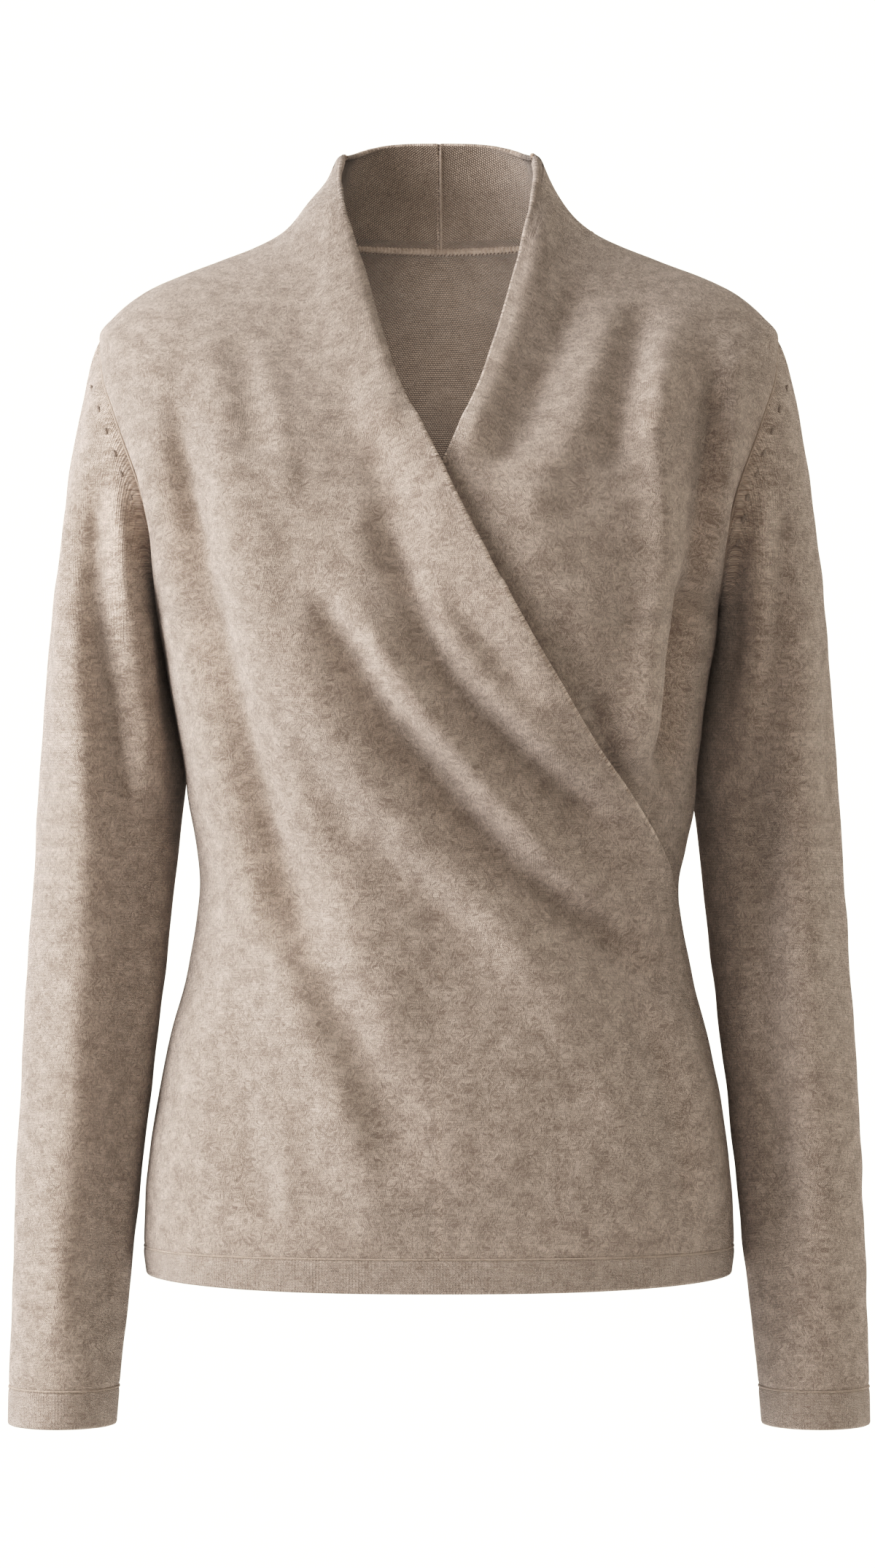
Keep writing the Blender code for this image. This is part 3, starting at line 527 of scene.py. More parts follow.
def settled_height(height_at, points, normals):
    """Height of folds that lie where their routes say once the cloth has moved out or in."""
    x, z = points[..., 0], points[..., 2]
    height = height_at(x, z)
    sideways = np.abs(normals[..., 0])
    moves = ramp(SETTLE_TOP - z, SETTLE_RUN) * (1 - ramp(sideways - SETTLE_SIDEWAYS, SETTLE_FADE))
    for _ in range(SETTLE_TURNS):
        moved = height * moves
        height = (height + height_at(x + normals[..., 0] * moved, z + normals[..., 2] * moved)) / 2
    return height


def unevenness(x, z, seed):
    """Faint slow rise and fall of hanging cloth."""
    rng = np.random.default_rng(seed)
    height = np.zeros(np.shape(x))
    for length in UNEVEN_LENGTHS:
        for _ in range(UNEVEN_WAVES):
            turn, shift = rng.uniform(0, math.pi), rng.uniform(0, 2 * math.pi)
            along = x * math.cos(turn) + z * math.sin(turn)
            height += UNEVEN_HEIGHT * length * np.sin(2 * math.pi * along / length + shift)
    return height


def grid_normals(points, closed=False):
    """Outward normals of a grid whose columns run round it and whose rows run up it."""
    if closed:
        across = np.roll(points, -1, axis=1) - np.roll(points, 1, axis=1)
    else:
        across = np.gradient(points, axis=1)
    return unit(np.cross(across, np.gradient(points, axis=0)))


# ---------------------------------------------------------------- cloth meshes

def add_object(name, data):
    obj = bpy.data.objects.new(name, data)
    bpy.context.collection.objects.link(obj)
    return obj


RIM_TURNS = [0.25, 0.5, 0.75]     # where a rim's lines lie between the two faces, in half turns
EDGE_BAND_FAR = 100.0             # stands for a place that isn't near a free front edge


def on_side(side):
    """Takes places on the wearer's left to the given side, left (1) or right (-1)."""
    return np.array([float(side), 1.0, 1.0])


def cloth_mesh(name, outer, inward, wall, rounding, uv, valid=None, closed=False, mirrored=False,
               edge_run=None):
    """One closed shell: the outer face, the inner face a wall inwards, and round rims on all edges.

    outer and inward are grids of points and unit vectors; wall and rounding are grids or numbers, the
    thickness and how far a rim stands out beyond the grid's edge. uv is in metres on the flat cloth.
    edge_run is the distance from a free front edge, if there is one.
    """
    rows, count = outer.shape[:2]
    wall = np.broadcast_to(wall, (rows, count)).reshape(-1, 1)
    rounding = np.broadcast_to(rounding, (rows, count)).reshape(-1, 1)
    points, steps = outer.reshape(-1, 3), inward.reshape(-1, 3)
    if mirrored:
        points, steps = points * on_side(-1), steps * on_side(-1)
    i, j = np.meshgrid(np.arange(rows - 1), np.arange(count if closed else count - 1), indexing="ij")
    if valid is not None:
        keep = valid[i, j] & valid[i, j + 1] & valid[i + 1, j] & valid[i + 1, j + 1]
        i, j = i[keep], j[keep]
    i, j = i.ravel(), j.ravel()
    next_j = (j + 1) % count
    low, high = i * count, (i + 1) * count
    quads = np.stack([low + j, low + next_j, high + next_j, high + j], axis=1)
    low, high = i * uv.shape[1], (i + 1) * uv.shape[1]
    corners = np.stack([low + j, low + j + 1, high + j + 1, high + j], axis=1)
    if mirrored:
        quads, corners = quads[:, ::-1], corners[:, ::-1]
    flat = uv.reshape(-1, 2)

    size = len(points)
    starts, ends = quads.ravel(), np.roll(quads, -1, axis=1).ravel()
    start_corners, end_corners = corners.ravel(), np.roll(corners, -1, axis=1).ravel()
    free = ~np.isin(starts * size + ends, ends * size + starts)
    a, b = starts[free], ends[free]
    a_uv, b_uv = flat[start_corners[free]], flat[end_corners[free]]
    out = np.zeros_like(points)
    sideways = unit(np.cross(points[b] - points[a], -steps[a]))
    np.add.at(out, a, sideways)
    np.add.at(out, b, sideways)
    out = unit(out)

    layers = [points]
    middle = points + steps * wall / 2
    rim = np.unique(a)
    place = np.zeros(size, dtype=int)
    place[rim] = np.arange(len(rim))
    for turn in RIM_TURNS:
        angle = math.pi * turn
        bulge = -steps * math.cos(angle) * wall / 2 + out * math.sin(angle) * rounding
        layers.append((middle + bulge)[rim])
    layers.append(points + steps * wall)
    offsets = np.cumsum([0] + [len(layer) for layer in layers])

    def index(layer, vertices):
        whole = layer in (0, len(layers) - 1)
        return offsets[layer] + (vertices if whole else place[vertices])

    faces = [quads, quads[:, ::-1] + offsets[-2]]
    face_uv = [flat[corners], flat[corners[:, ::-1]]]
    kinds = [np.zeros(len(quads), int), np.ones(len(quads), int)]
    for layer in range(len(layers) - 1):
        low, high = (index(layer, b), index(layer, a)), (index(layer + 1, a), index(layer + 1, b))
        faces.append(np.stack(low + high, axis=1))
        face_uv.append(np.stack([b_uv, a_uv, a_uv, b_uv], axis=1))
        kinds.append(np.zeros(len(a), int))
    on_faces = np.full(size, EDGE_BAND_FAR) if edge_run is None else edge_run.ravel()
    edge_run = np.concatenate([on_faces] + [np.zeros(len(rim))] * len(RIM_TURNS) + [on_faces])
    return join_quads(name, np.concatenate(layers), np.concatenate(faces), np.concatenate(face_uv),
                      np.concatenate(kinds), edge_run)


def join_quads(name, points, faces, face_uv, kinds, edge_run=None):
    """A mesh object from quads, with UVs, material indices and distances from a free front edge."""
    used, faces = np.unique(faces, return_inverse=True)
    faces = faces.reshape(-1, 4)
    points = points[used]
    mesh = bpy.data.meshes.new(name)
    mesh.vertices.add(len(points))
    mesh.vertices.foreach_set("co", (points * MM).astype(np.float32).ravel())
    mesh.loops.add(faces.size)
    mesh.loops.foreach_set("vertex_index", faces.astype(np.int32).ravel())
    mesh.polygons.add(len(faces))
    mesh.polygons.foreach_set("loop_start", np.arange(0, faces.size, 4, dtype=np.int32))
    mesh.polygons.foreach_set("material_index", kinds.astype(np.int32))
    mesh.update(calc_edges=True)
    layer = mesh.uv_layers.new(name="cloth")
    layer.data.foreach_set("uv", face_uv.astype(np.float32).ravel())
    if edge_run is not None:
        attribute = mesh.attributes.new("edge_run", "FLOAT", "POINT")
        attribute.data.foreach_set("value", (edge_run[used] * MM).astype(np.float32))
    mesh.shade_smooth()
    return add_object(name, mesh)


def hanging_uv(points):
    """Place on the flat cloth of a hanging sleeve: across round it, and up."""
    points = np.concatenate([points, points[:, :1]], axis=1)
    across = run_along(points * np.array([1.0, 1.0, 0.0]), axis=1)
    return np.stack([across, points[..., 2]], axis=-1) * MM


def flat_uv(points, column_zero):
    """Place on the flat cloth in metres: across from one column, and up from the first row."""
    across = run_along(points, axis=1)
    across = across - across[:, column_zero:column_zero + 1]
    up = run_along(points, axis=0)
    return np.stack([across, up], axis=-1) * MM


# ---------------------------------------------------------------- fronts and back

def front_edge_places(levels):
    """Where the front edge crosses each row, in the frame of the over front."""
    low, high = np.full(len(levels), -1.0), np.full(len(levels), 1.0)
    for _ in range(HALVINGS):
        middle = (low + high) / 2
        points = form_points(middle, levels)
        before = points[:, 0] < edge_x(points[:, 2])
        low, high = np.where(before, middle, low), np.where(before, high, middle)
    return np.where(high < 1.0 - NUDGE, (low + high) / 2, 1.0)


def places_round(start, end, levels, count, from_start, from_end):
    """Places round each row between two of them, and their distances from both ends."""
    shares = 0.5 - 0.5 * np.cos(np.linspace(0, math.pi, ROUND_SAMPLES))
    fine = start[:, None] + (end - start)[:, None] * shares
    run = run_along(form_points(fine, levels[:, None]), axis=1)
    distance = spread(run[:, -1], count, from_start, from_end)
    around = np.stack([np.interp(d, r, f) for d, r, f in zip(distance, run, fine)])
    return around, distance, run[:, -1:] - distance


def front_height(layer, points, normals, around, levels):
    """How far a front's outer face stands off the form: its folds, and the two layers at the crossing."""
    x, z = points[..., 0], points[..., 2]
    row = form_row(levels)
    from_side = (1.0 - np.abs(around)) * ((row.side_x + row.front_d) * FRONT_GIRTH)[:, None]
    covered = (edge_x(z) - x) * EDGE_SLANT
    inside = ramp(from_side, SIDE_FADE)
    fade = inside * ramp(z - HEM_SEAM, HEM_FADE)
    parted = ramp(PARTING_Z - z, PARTING_RUN)
    uneven = unevenness(x, z, UNEVEN_SEEDS[layer]) * fade
    at_side = LIFT_AT_SEAM + (1 - LIFT_AT_SEAM) * ramp(from_side, LIFT_SIDE_FADE)
    if layer == "over":
        at_edge = 1 - ramp(covered, LIFT_WIDTH)
        lift = LAYER_LIFT * parted * at_edge * at_side
        crossing = ramp(FREE_EDGE_Z - z, PARTING_RUN)
        near_edge = 1 - crossing * (1 - ramp(covered + EDGE_REACH, EDGE_FADE))
        weight = fade * near_edge
        folds = settled_height(lambda x, z: fold_height(OVER_FOLDS, x, z) * weight, points, normals)
        return lift + folds + uneven * near_edge
    drop = (SEAM_DROP + (HIDDEN_DROP - SEAM_DROP) * fade) * parted
    pressed = drop * ramp(covered + PRESSED + PRESSED_AT_SEAM * (1 - inside), PRESSED_RUN)
    weight = fade * ramp(-covered, UNDER_FADE)
    folds = settled_height(lambda x, z: fold_height(UNDER_FOLDS, x, z) * weight, points, normals)
    lift = UNDER_LIFT * parted * inside * bell(covered + UNDER_LIFT_PLACE, UNDER_LIFT_WIDTH)
    return lift + folds + uneven * ramp(-covered, UNDER_FADE) - pressed


def distance_to_edge(points, normals):
    """How far places on a front lie from its free edge, along the cloth."""
    x, z = points[..., 0], points[..., 2]
    slope = (edge_x(z + 1) - edge_x(z - 1)) / 2
    gap = np.maximum(edge_x(z) - x, 0) / np.sqrt(1 + slope ** 2)
    return gap / np.maximum(np.abs(normals[..., 1]), LEAST_TURN)


def crossing_share(end, levels):
    """Sine of the angle at which each row meets the front edge."""
    edge = form_points(end, levels)
    along_row = unit(edge - form_points(end - CROSSING_STEP, levels))
    along_edge = unit(np.gradient(edge, axis=0))
    share = np.linalg.norm(np.cross(along_row, along_edge), axis=-1)
    share = np.pad(share, CROSSING_ROWS // 2, mode="edge")
    share = np.convolve(share, np.full(CROSSING_ROWS, 1 / CROSSING_ROWS), mode="valid")
    return np.clip(share, LEAST_CROSSING, 1.0)[:, None]


# The grid of a front: the collar's columns come first, from centre back to the shoulder, and have no
# rows below the neck seam. The from_ fields and edge_run are distances along the cloth; free is 1
# where the front edge hangs free.
FrontGrid = namedtuple("FrontGrid", "around heights from_side from_back from_top from_neck edge_run free")
OWN = slice(COLLAR_COLUMNS, None)
COLLAR = slice(None, COLLAR_COLUMNS)


def front_grid(levels):
    """Places round the form of each point of a front, and how far it lies from what bounds it."""
    end = front_edge_places(levels)
    start = np.full(len(levels), -1.0)
    free = ramp((form_points(end, levels)[:, 2] - EDGE_AT_SEAM_Z)[:, None], EDGE_FREE_RUN)
    crossing = crossing_share(end, levels)
    steps = np.array(SEAM_STEPS + EDGE_STEPS[-1:]) * (1 - free) + np.array(EDGE_STEPS) / crossing * free
    around, from_side, along_row = places_round(start, end, levels, FRONT_COLUMNS, SEAM_STEPS, steps)
    behind = np.full(len(levels), -2.0 + NUDGE)
    wrap, from_back, _ = places_round(behind, around[:, 0], levels, COLLAR_COLUMNS,
                                      COLLAR_BACK_STEPS, COLLAR_SIDE_STEPS)
    around = np.concatenate([wrap, around], axis=1)
    back_run = run_along(form_points(2.0 - NUDGE, levels))
    from_top = (back_run[-1] - back_run)[:, None]
    from_neck = np.abs(back_run - back_run[NECK_ROW])[:, None]
    heights = np.repeat(levels[:, None], around.shape[1], axis=1)
    edge_run = distance_to_edge(form_points(around, heights), form_normals(around, heights))[:, OWN]
    edge_run = np.maximum(edge_run, along_row * crossing)
    corner = CORNER_DROP * np.clip(1 - edge_run / CORNER_WIDTH, 0, 1) ** 2
    heights[:, OWN] -= corner * (1 - ramp(from_top, CORNER_RUN))
    return FrontGrid(around, heights, from_side, from_back, from_top, from_neck, edge_run, free)


def add_seams_and_rolls(height, grid, levels, roll, top_roll):
    """Sinks a front's outer face along its seams and raises it along its free edges."""
    seam_dip = bell(grid.from_side, SEAM_DIP_WIDTH) * (levels < NECK)[:, None]
    hem_dip = bell((levels - HEM_SEAM)[:, None], SEAM_DIP_WIDTH)
    neck_dip = bell(grid.from_neck, SEAM_DIP_WIDTH)
    height[:, OWN] += EDGE_ROLL * roll - SEAM_DIP * seam_dip
    height[:, COLLAR] -= SEAM_DIP * np.maximum(neck_dip, bell(grid.from_back, SEAM_DIP_WIDTH))
    height += TOP_ROLL * top_roll - SEAM_DIP * hem_dip


def front_rims(grid):
    """How far a front's rims round over, and which of its points have cloth."""
    rounding = np.full(grid.around.shape, SEAM_CLOSE)
    rounding[:, -1:] = SEAM_CLOSE + (EDGE_STEPS[0] - SEAM_CLOSE) * grid.free
    rounding[-1] = SEAM_STEPS[1]
    rounding[0] = SEAM_TUCK
    valid = np.ones(grid.around.shape, dtype=bool)
    valid[:NECK_ROW, COLLAR] = False
    return rounding, valid


def build_front(name, layer, side):
    """A front with its half of the collar. side is -1 for the over front and 1 for the under front."""
    levels = FRONT_LEVELS
    grid = front_grid(levels)
    base = form_points(grid.around, grid.heights)
    on_form = form_normals(grid.around, grid.heights)
    shown, faced = base * on_side(-side), on_form * on_side(-side)
    height = np.zeros(grid.around.shape)
    height[:, OWN] = front_height(layer, shown[:, OWN], faced[:, OWN], grid.around[:, OWN], levels)
    roll = bell(grid.edge_run, EDGE_ROLL_WIDTH) * grid.free
    if layer == "under":
        roll = roll * ramp(shown[:, OWN, 2] - UNDER_ROLL_Z, UNDER_ROLL_RUN)
    top_roll = bell(grid.from_top, TOP_ROLL_WIDTH)
    add_seams_and_rolls(height, grid, levels, roll, top_roll)
    height -= TOP_LEAN * on_form[..., 0] ** 2 * np.clip(1 - grid.from_top / TOP_LEAN_RUN, 0, 1) ** 2
    outer = base + on_form * height[..., None]
    lift = unit(base[NECK_ROW + 1] - base[NECK_ROW]) * SEAM_ROUND
    outer[NECK_ROW, COLLAR] += lift[COLLAR]
    normals = grid_normals(outer)
    normals[:NECK_ROW, OWN] = grid_normals(outer[:, OWN])[:NECK_ROW]
    turned = np.sum(normals * on_form, axis=-1, keepdims=True) < LEAST_FACING
    normals = np.where(turned, on_form, normals)
    wall = np.full(grid.around.shape, WALL)
    wall[:, OWN] += (EDGE_ROLL + EDGE_ROLL_IN) * roll
    wall += (TOP_ROLL + TOP_ROLL_IN) * top_roll
    rounding, valid = front_rims(grid)
    edge_run = np.full(grid.around.shape, EDGE_BAND_FAR)
    edge_run[:, OWN] = grid.edge_run
    return cloth_mesh(name, outer, -normals, wall, rounding, garment_uv(grid.around, levels), valid,
                      mirrored=side > 0, edge_run=edge_run)


UV_PLACES = np.linspace(-2.0, 1.0, 241)
UV_LEVELS = np.linspace(HEM_LEVEL, COLLAR_TOP, 240)
COLLAR_TURN = math.radians(38)        # how far the wales lean over on the collar, at centre back
COLLAR_COS, COLLAR_SIN = math.cos(COLLAR_TURN), math.sin(COLLAR_TURN)
COLLAR_TURN_PLACE = -0.9
COLLAR_TURN_RUN = 0.5
COLLAR_TURN_RISE = 6.0


def garment_uv(around, levels):
    """Place on the flat cloth, in metres: across from centre front, and up from the hem."""
    points = form_points(UV_PLACES[None, :], UV_LEVELS[:, None])
    across = run_along(points, axis=1)
    middle = int(np.searchsorted(UV_PLACES, 0.0))
    across = across - across[:, middle:middle + 1]
    up = run_along(points, axis=0)
    neck = np.searchsorted(UV_LEVELS, NECK)
    above = up - up[neck:neck + 1]
    from_back = across - across[:, :1]
    turned_across = across[neck, 0] + from_back * COLLAR_COS - above * COLLAR_SIN
    turned_up = up[neck, 0] + from_back * COLLAR_SIN + above * COLLAR_COS
    share = ramp(COLLAR_TURN_PLACE - UV_PLACES, COLLAR_TURN_RUN)[None, :] * ramp(above, COLLAR_TURN_RISE)
    across = across + (turned_across - across) * share
    up = up + (turned_up - up) * share
    shape = around.shape
    levels = np.broadcast_to(levels[:, None], shape)
    return np.stack([on_grid(across, around, levels), on_grid(up, around, levels)], axis=-1) * MM


def on_grid(values, around, levels):
    """Reads the grid of UV_LEVELS by UV_PLACES at any places, straight between its points."""
    j = (around - UV_PLACES[0]) / (UV_PLACES[1] - UV_PLACES[0])
    i = (levels - UV_LEVELS[0]) / (UV_LEVELS[1] - UV_LEVELS[0])
    j0 = np.clip(j.astype(int), 0, values.shape[1] - 2)
    i0 = np.clip(i.astype(int), 0, values.shape[0] - 2)
    s, t = np.clip(j - j0, 0, 1), np.clip(i - i0, 0, 1)
    low = values[i0, j0] * (1 - s) + values[i0, j0 + 1] * s
    high = values[i0 + 1, j0] * (1 - s) + values[i0 + 1, j0 + 1] * s
    return low * (1 - t) + high * t


MIDWAY_BACK = 1.5         # between the side seam and centre back


def build_back(name):
    """The back, its two halves meeting at centre back without a seam."""
    levels = BODY_LEVELS
    start, end = np.full(len(levels), 1.0 + NUDGE), np.full(len(levels), 2.0)
    half, from_seam, _ = places_round(start, end, levels, BACK_COLUMNS, SEAM_STEPS, [0.0])
    around = np.concatenate([half, -half[:, -2::-1]], axis=1)
    from_seam = np.concatenate([from_seam, from_seam[:, -2::-1]], axis=1)
    base = form_points(around, levels[:, None])
    normals = grid_normals(base)
    x, z = base[..., 0], base[..., 2]
    fade = ramp(from_seam, BACK_SIDE_FADE) * ramp(z - HEM_SEAM, HEM_FADE)
    fade = fade * ramp((NECK - levels)[:, None], BACK_NECK_FADE)
    height = (fold_height(BACK_FOLDS, x, z) + unevenness(x, z, UNEVEN_SEEDS["back"])) * fade
    neck_run = run_along(form_points(MIDWAY_BACK, levels))
    from_hem, from_neck = (levels - HEM_SEAM)[:, None], (neck_run[-1] - neck_run)[:, None]
    seams = np.maximum(bell(from_seam, SEAM_DIP_WIDTH), bell(from_hem, SEAM_DIP_WIDTH))
    seams = np.maximum(seams, bell(from_neck, SEAM_DIP_WIDTH))
    outer = base + normals * (height - SEAM_DIP * seams)[..., None]
    outer[-1] += unit(base[-2] - base[-1]) * SEAM_ROUND
    uv = flat_uv(base, BACK_COLUMNS - 1)
    rounding = np.full(around.shape, SEAM_CLOSE)
    rounding[0] = SEAM_TUCK
    return cloth_mesh(name, outer, -grid_normals(outer), WALL, rounding, uv)


def build_hem(name, places_of):
    """Half of the hem band, from one side seam to the other."""
    levels = even_levels(HEM_LEVEL, HEM_SEAM, 0.0, BAND_STEP, BAND_EDGE_STEPS, BAND_SEAM_STEPS)
    around = places_of(levels)
    base = form_points(around, levels[:, None])
    normals = grid_normals(base)
    dip = bell((HEM_SEAM - levels)[:, None], SEAM_DIP_WIDTH) * SEAM_DIP
    outer = base + normals * (BAND_LIFT - dip)[..., None]
    rounding = np.full(around.shape, SEAM_CLOSE)
    rounding[0] = BAND_WALL / 2
    uv = flat_uv(base, HEM_COLUMNS // 2)
    return cloth_mesh(name, outer, -grid_normals(outer), BAND_WALL, rounding, uv)


def front_hem_places(levels):
    ends = np.ones(len(levels))
    return places_round(-ends, ends, levels, HEM_COLUMNS, SEAM_STEPS, SEAM_STEPS)[0]


def back_hem_places(levels):
    ends = np.ones(len(levels))
    half = places_round(ends + NUDGE, ends * 2, levels, HEM_COLUMNS // 2, SEAM_STEPS, [0.0])[0]
    return np.concatenate([half, -half[:, -2::-1]], axis=1)


# ---------------------------------------------------------------- sleeves and cuffs

def armhole_loop():
    """Points round the armhole, from the shoulder down the front and up the back, and their angles."""
    down = form_points(1.0, ARMHOLE_LEVELS[::-1])
    up = form_points(1.0 + NUDGE, ARMHOLE_LEVELS[1:-1])
    half = len(down) - 1
    closed = run_along(np.concatenate([down, up, down[:1]]))
    angles = np.concatenate([
        math.pi * closed[:half] / closed[half],
        math.pi + math.pi * (closed[half:-1] - closed[half]) / (closed[-1] - closed[half]),
    ])
    return np.concatenate([down, up]), angles


ARM_POINTS, ARM_ANGLES = armhole_loop()


def ring_ellipses(rings, angles):
    """Points round upright ellipses through each ring's outer, inner, front and back points."""
    ring = Ring(*(column[:, None] for column in rings.T))
    middle_x, middle_z = (ring.out_x + ring.in_x) / 2, (ring.out_z + ring.in_z) / 2
    half_x, half_z = (ring.out_x - ring.in_x) / 2, (ring.out_z - ring.in_z) / 2
    middle_y, half_y = (ring.front_y + ring.back_y) / 2, (ring.back_y - ring.front_y) / 2
    along, side = np.cos(angles)[None, :], np.sin(angles)[None, :]
    y = middle_y - half_y * side + ring.in_back * (1 - along) / 2
    return np.stack([middle_x + half_x * along, y, middle_z + half_z * along], axis=-1)


def rings_at(places):
    """Rings at these places along the table of rings."""
    return smooth_curve(np.arange(len(RING_COLUMNS), dtype=float), RING_COLUMNS, places)


def sleeve_grid(places):
    """Points round the sleeve at these places; near its top they hug the armhole's own curve."""
    rings = rings_at(places)
    own_curve = ARM_POINTS - ring_ellipses(RING_COLUMNS[:1], ARM_ANGLES)[0]
    return ring_ellipses(rings, ARM_ANGLES) + rings[:, -1][:, None, None] * own_curve[None]


def sleeve_normals(points):
    """Outward directions of a grid whose rows run down the sleeve."""
    return -grid_normals(points[::-1], closed=True)[::-1]


def ring_places(first, last, step, from_start, from_end):
    """Places between two rings of the table, a step apart down the sleeve's middle line."""
    fine = np.linspace(first, last, RING_SAMPLES)
    rings = rings_at(fine)
    middle = np.stack([rings[:, 0] + rings[:, 2], rings[:, 1] + rings[:, 3]], axis=-1) / 2
    run = run_along(middle)
    count = int(run[-1] / step) + len(from_start) + len(from_end)
    distance = spread(run[-1], count, from_start, from_end)[0]
    return np.interp(distance, run, fine), distance, run[-1] - distance


FACING_FROM = 0.1         # a sleeve's front folds grow from this share of facing forwards,
FACING_RUN = 0.5          # within this more of it, and its back folds facing backwards


def sleeve_height(folds, points, normals):
    """Height of a sleeve's folds, those of the front and those of the back."""
    front = ramp(-normals[..., 1] - FACING_FROM, FACING_RUN)
    back = ramp(normals[..., 1] - FACING_FROM, FACING_RUN)
    return (settled_height(lambda x, z: fold_height(folds.front, x, z) * front, points, normals)
            + settled_height(lambda x, z: fold_height(folds.back, x, z) * back, points, normals))


def build_sleeve(name, side, folds, seed):
    """Sleeve of the wearer's left (side 1) or right (side -1)."""
    places, from_top, from_cuff = ring_places(0.0, CUFF_RING, SLEEVE_STEP, SEAM_STEPS, SEAM_STEPS)
    base = sleeve_grid(places)
    normals = sleeve_normals(base)
    fade = (ramp(from_top, SLEEVE_TOP_FADE) * ramp(from_cuff, SLEEVE_CUFF_FADE))[:, None]
    height = sleeve_height(folds, base, normals) * fade
    height += unevenness(base[..., 0] + base[..., 1], base[..., 2], seed) * fade * UNEVEN_ON_SLEEVES
    dip = np.maximum(bell(from_top, SEAM_DIP_WIDTH), bell(from_cuff, SEAM_DIP_WIDTH)) * SEAM_DIP
    outer = base + normals * (height - dip[:, None])[..., None]
    normals = sleeve_normals(outer)
    uv = hanging_uv(base)
    return cloth_mesh(name, outer, -normals, WALL, SEAM_CLOSE, uv, closed=True, mirrored=side < 0)


def build_cuff(name, side):
    """Cuff band of one sleeve, from its seam to the wrist."""
    last = len(SLEEVE_RINGS) - 1
    places, from_seam, _ = ring_places(CUFF_RING, last, BAND_STEP, BAND_SEAM_STEPS, BAND_EDGE_STEPS)
    base = sleeve_grid(places)
    normals = sleeve_normals(base)
    dip = bell(from_seam, SEAM_DIP_WIDTH) * SEAM_DIP
    outer = base + normals * (BAND_LIFT - dip)[:, None, None]
    rounding = np.full(base.shape[:2], SEAM_CLOSE)
    rounding[-1] = BAND_WALL / 2
    uv = hanging_uv(base)
    return cloth_mesh(name, outer, -normals, BAND_WALL, rounding, uv, closed=True, mirrored=side < 0)


# ---------------------------------------------------------------- seams

ROPE_SIDES = 8
ROPE_STEP = 0.6           # between the rings of a rope, and of the finer ones in the neck
FINE_ROPE_STEP = 0.55
ROPE_END = 0.05           # least size of a rope's rounded end
NECK_SAMPLES = 60         # points of the form from which each seam's line is taken
CENTRE_SAMPLES = 40
HEM_SAMPLES = 200

# A ridge of linked yarn: half width along the cloth, half height off it, size and spacing of its lumps.
Ridge = namedtuple("Ridge", "wide tall lumps pitch")
NECK_RIDGE = Ridge(2.4, 1.5, 0.18, 2.3)
CENTRE_RIDGE = Ridge(0.9, 0.8, 0.16, 2.1)
ARMHOLE_RIDGE = Ridge(0.85, 0.85, 0.0, 1.0)
CUFF_RIDGE = Ridge(0.8, 0.8, 0.16, 2.1)
HEM_RIDGE = Ridge(0.75, 0.75, 0.12, 2.0)

# How deep the ridges outside are sunk into their seams.
ARMHOLE_SUNK = 0.75
CUFF_SUNK = 0.5
HEM_SUNK = 0.62
CUFF_BACK = 0.002         # the cuff's ridge lies back from its seam by this, in rings of the table
HEM_FACING = (0.45, 1.0, 0.0)         # how far the hem's ridge faces sideways and forwards

# Slanted stitches beside a ridge: spacing, length, slant in degrees and half thickness.
Stitches = namedtuple("Stitches", "pitch length slant thick")
NECK_STITCHES = Stitches(2.3, 2.0, 52, 0.42)
CENTRE_STITCHES = Stitches(2.1, 1.7, 40, 0.42 * 0.8)
STITCH_FLAT = 0.8         # height of a stitch as a share of its width
STITCH_RINGS = 6

# The neck seam lies inside the collar, from one shoulder round the back to the other.
NECK_SEAM_START = 1.04
NECK_SEAM_END = 1.99      # just short of centre back, where the other half has its last point
NECK_SEAM_CENTRE = -40.0  # its ridge faces a point so far forward of its middle
NECK_SEAM_IN = 0.5        # off the cloth's inner face, and up from the neck line
NECK_SEAM_UP = 0.6
NECK_STITCHES_IN = 0.7
NECK_STITCHES_DOWN = 0.9  # as a share of the ridge's half width
CENTRE_SEAM_IN = 0.2
CENTRE_SEAM_ASIDE = 1.1   # the collar's centre back ridge lies beside its line, the stitches across it
CENTRE_STITCHES_ASIDE = 0.1
CENTRE_SEAM_SHORT = 0.3   # below the collar's top

# Fashioning marks on each sleeve's front, in a row beside the armhole, counted from the top.
MARKS = 8
MARK_TOP = -84.0
MARK_STEP = -13.0
MARK_AWAY = 8.5           # from the armhole, nearer by this much with each mark
MARK_NEARER = 0.25
MARK_LENGTH = 5.2         # shorter by this much with each mark
MARK_SHORTER = 0.1
MARK_LEAN = 0.42          # sideways for each millimetre up
MARK_WIDE = 1.05
MARK_TALL = 0.85
MARK_OFF = 0.15
MARK_RINGS = 9
MARK_PLACES = np.linspace(0.0, 4.0, 60)       # down the sleeve, in rings of the table
MARK_FACING = 0.2         # least share of facing forwards
FAR = 1e3
RING_NUDGE = 0.02         # to the next ring that shows which way the cloth faces


def rope_parts(line, normals, wide, tall, lumps=0.0, pitch=1.0):
    """Rings of a rope laid on the cloth: half width along the cloth, half height off it, in lumps."""
    run = run_along(line)
    along = unit(np.gradient(line, axis=0))
    side = unit(np.cross(normals, along))
    ends = np.sin(np.clip(np.minimum(run, run[-1] - run) / wide, 0, 1) * math.pi / 2)
    swell = (1 + lumps * np.sin(2 * math.pi * run / pitch)) * np.maximum(ends, ROPE_END)
    turns = 2 * math.pi * np.arange(ROPE_SIDES) / ROPE_SIDES
    across = side[:, None] * np.cos(turns)[:, None] * wide
    off = normals[:, None] * np.sin(turns)[:, None] * tall
    return line[:, None] + (across + off) * swell[:, None, None], run


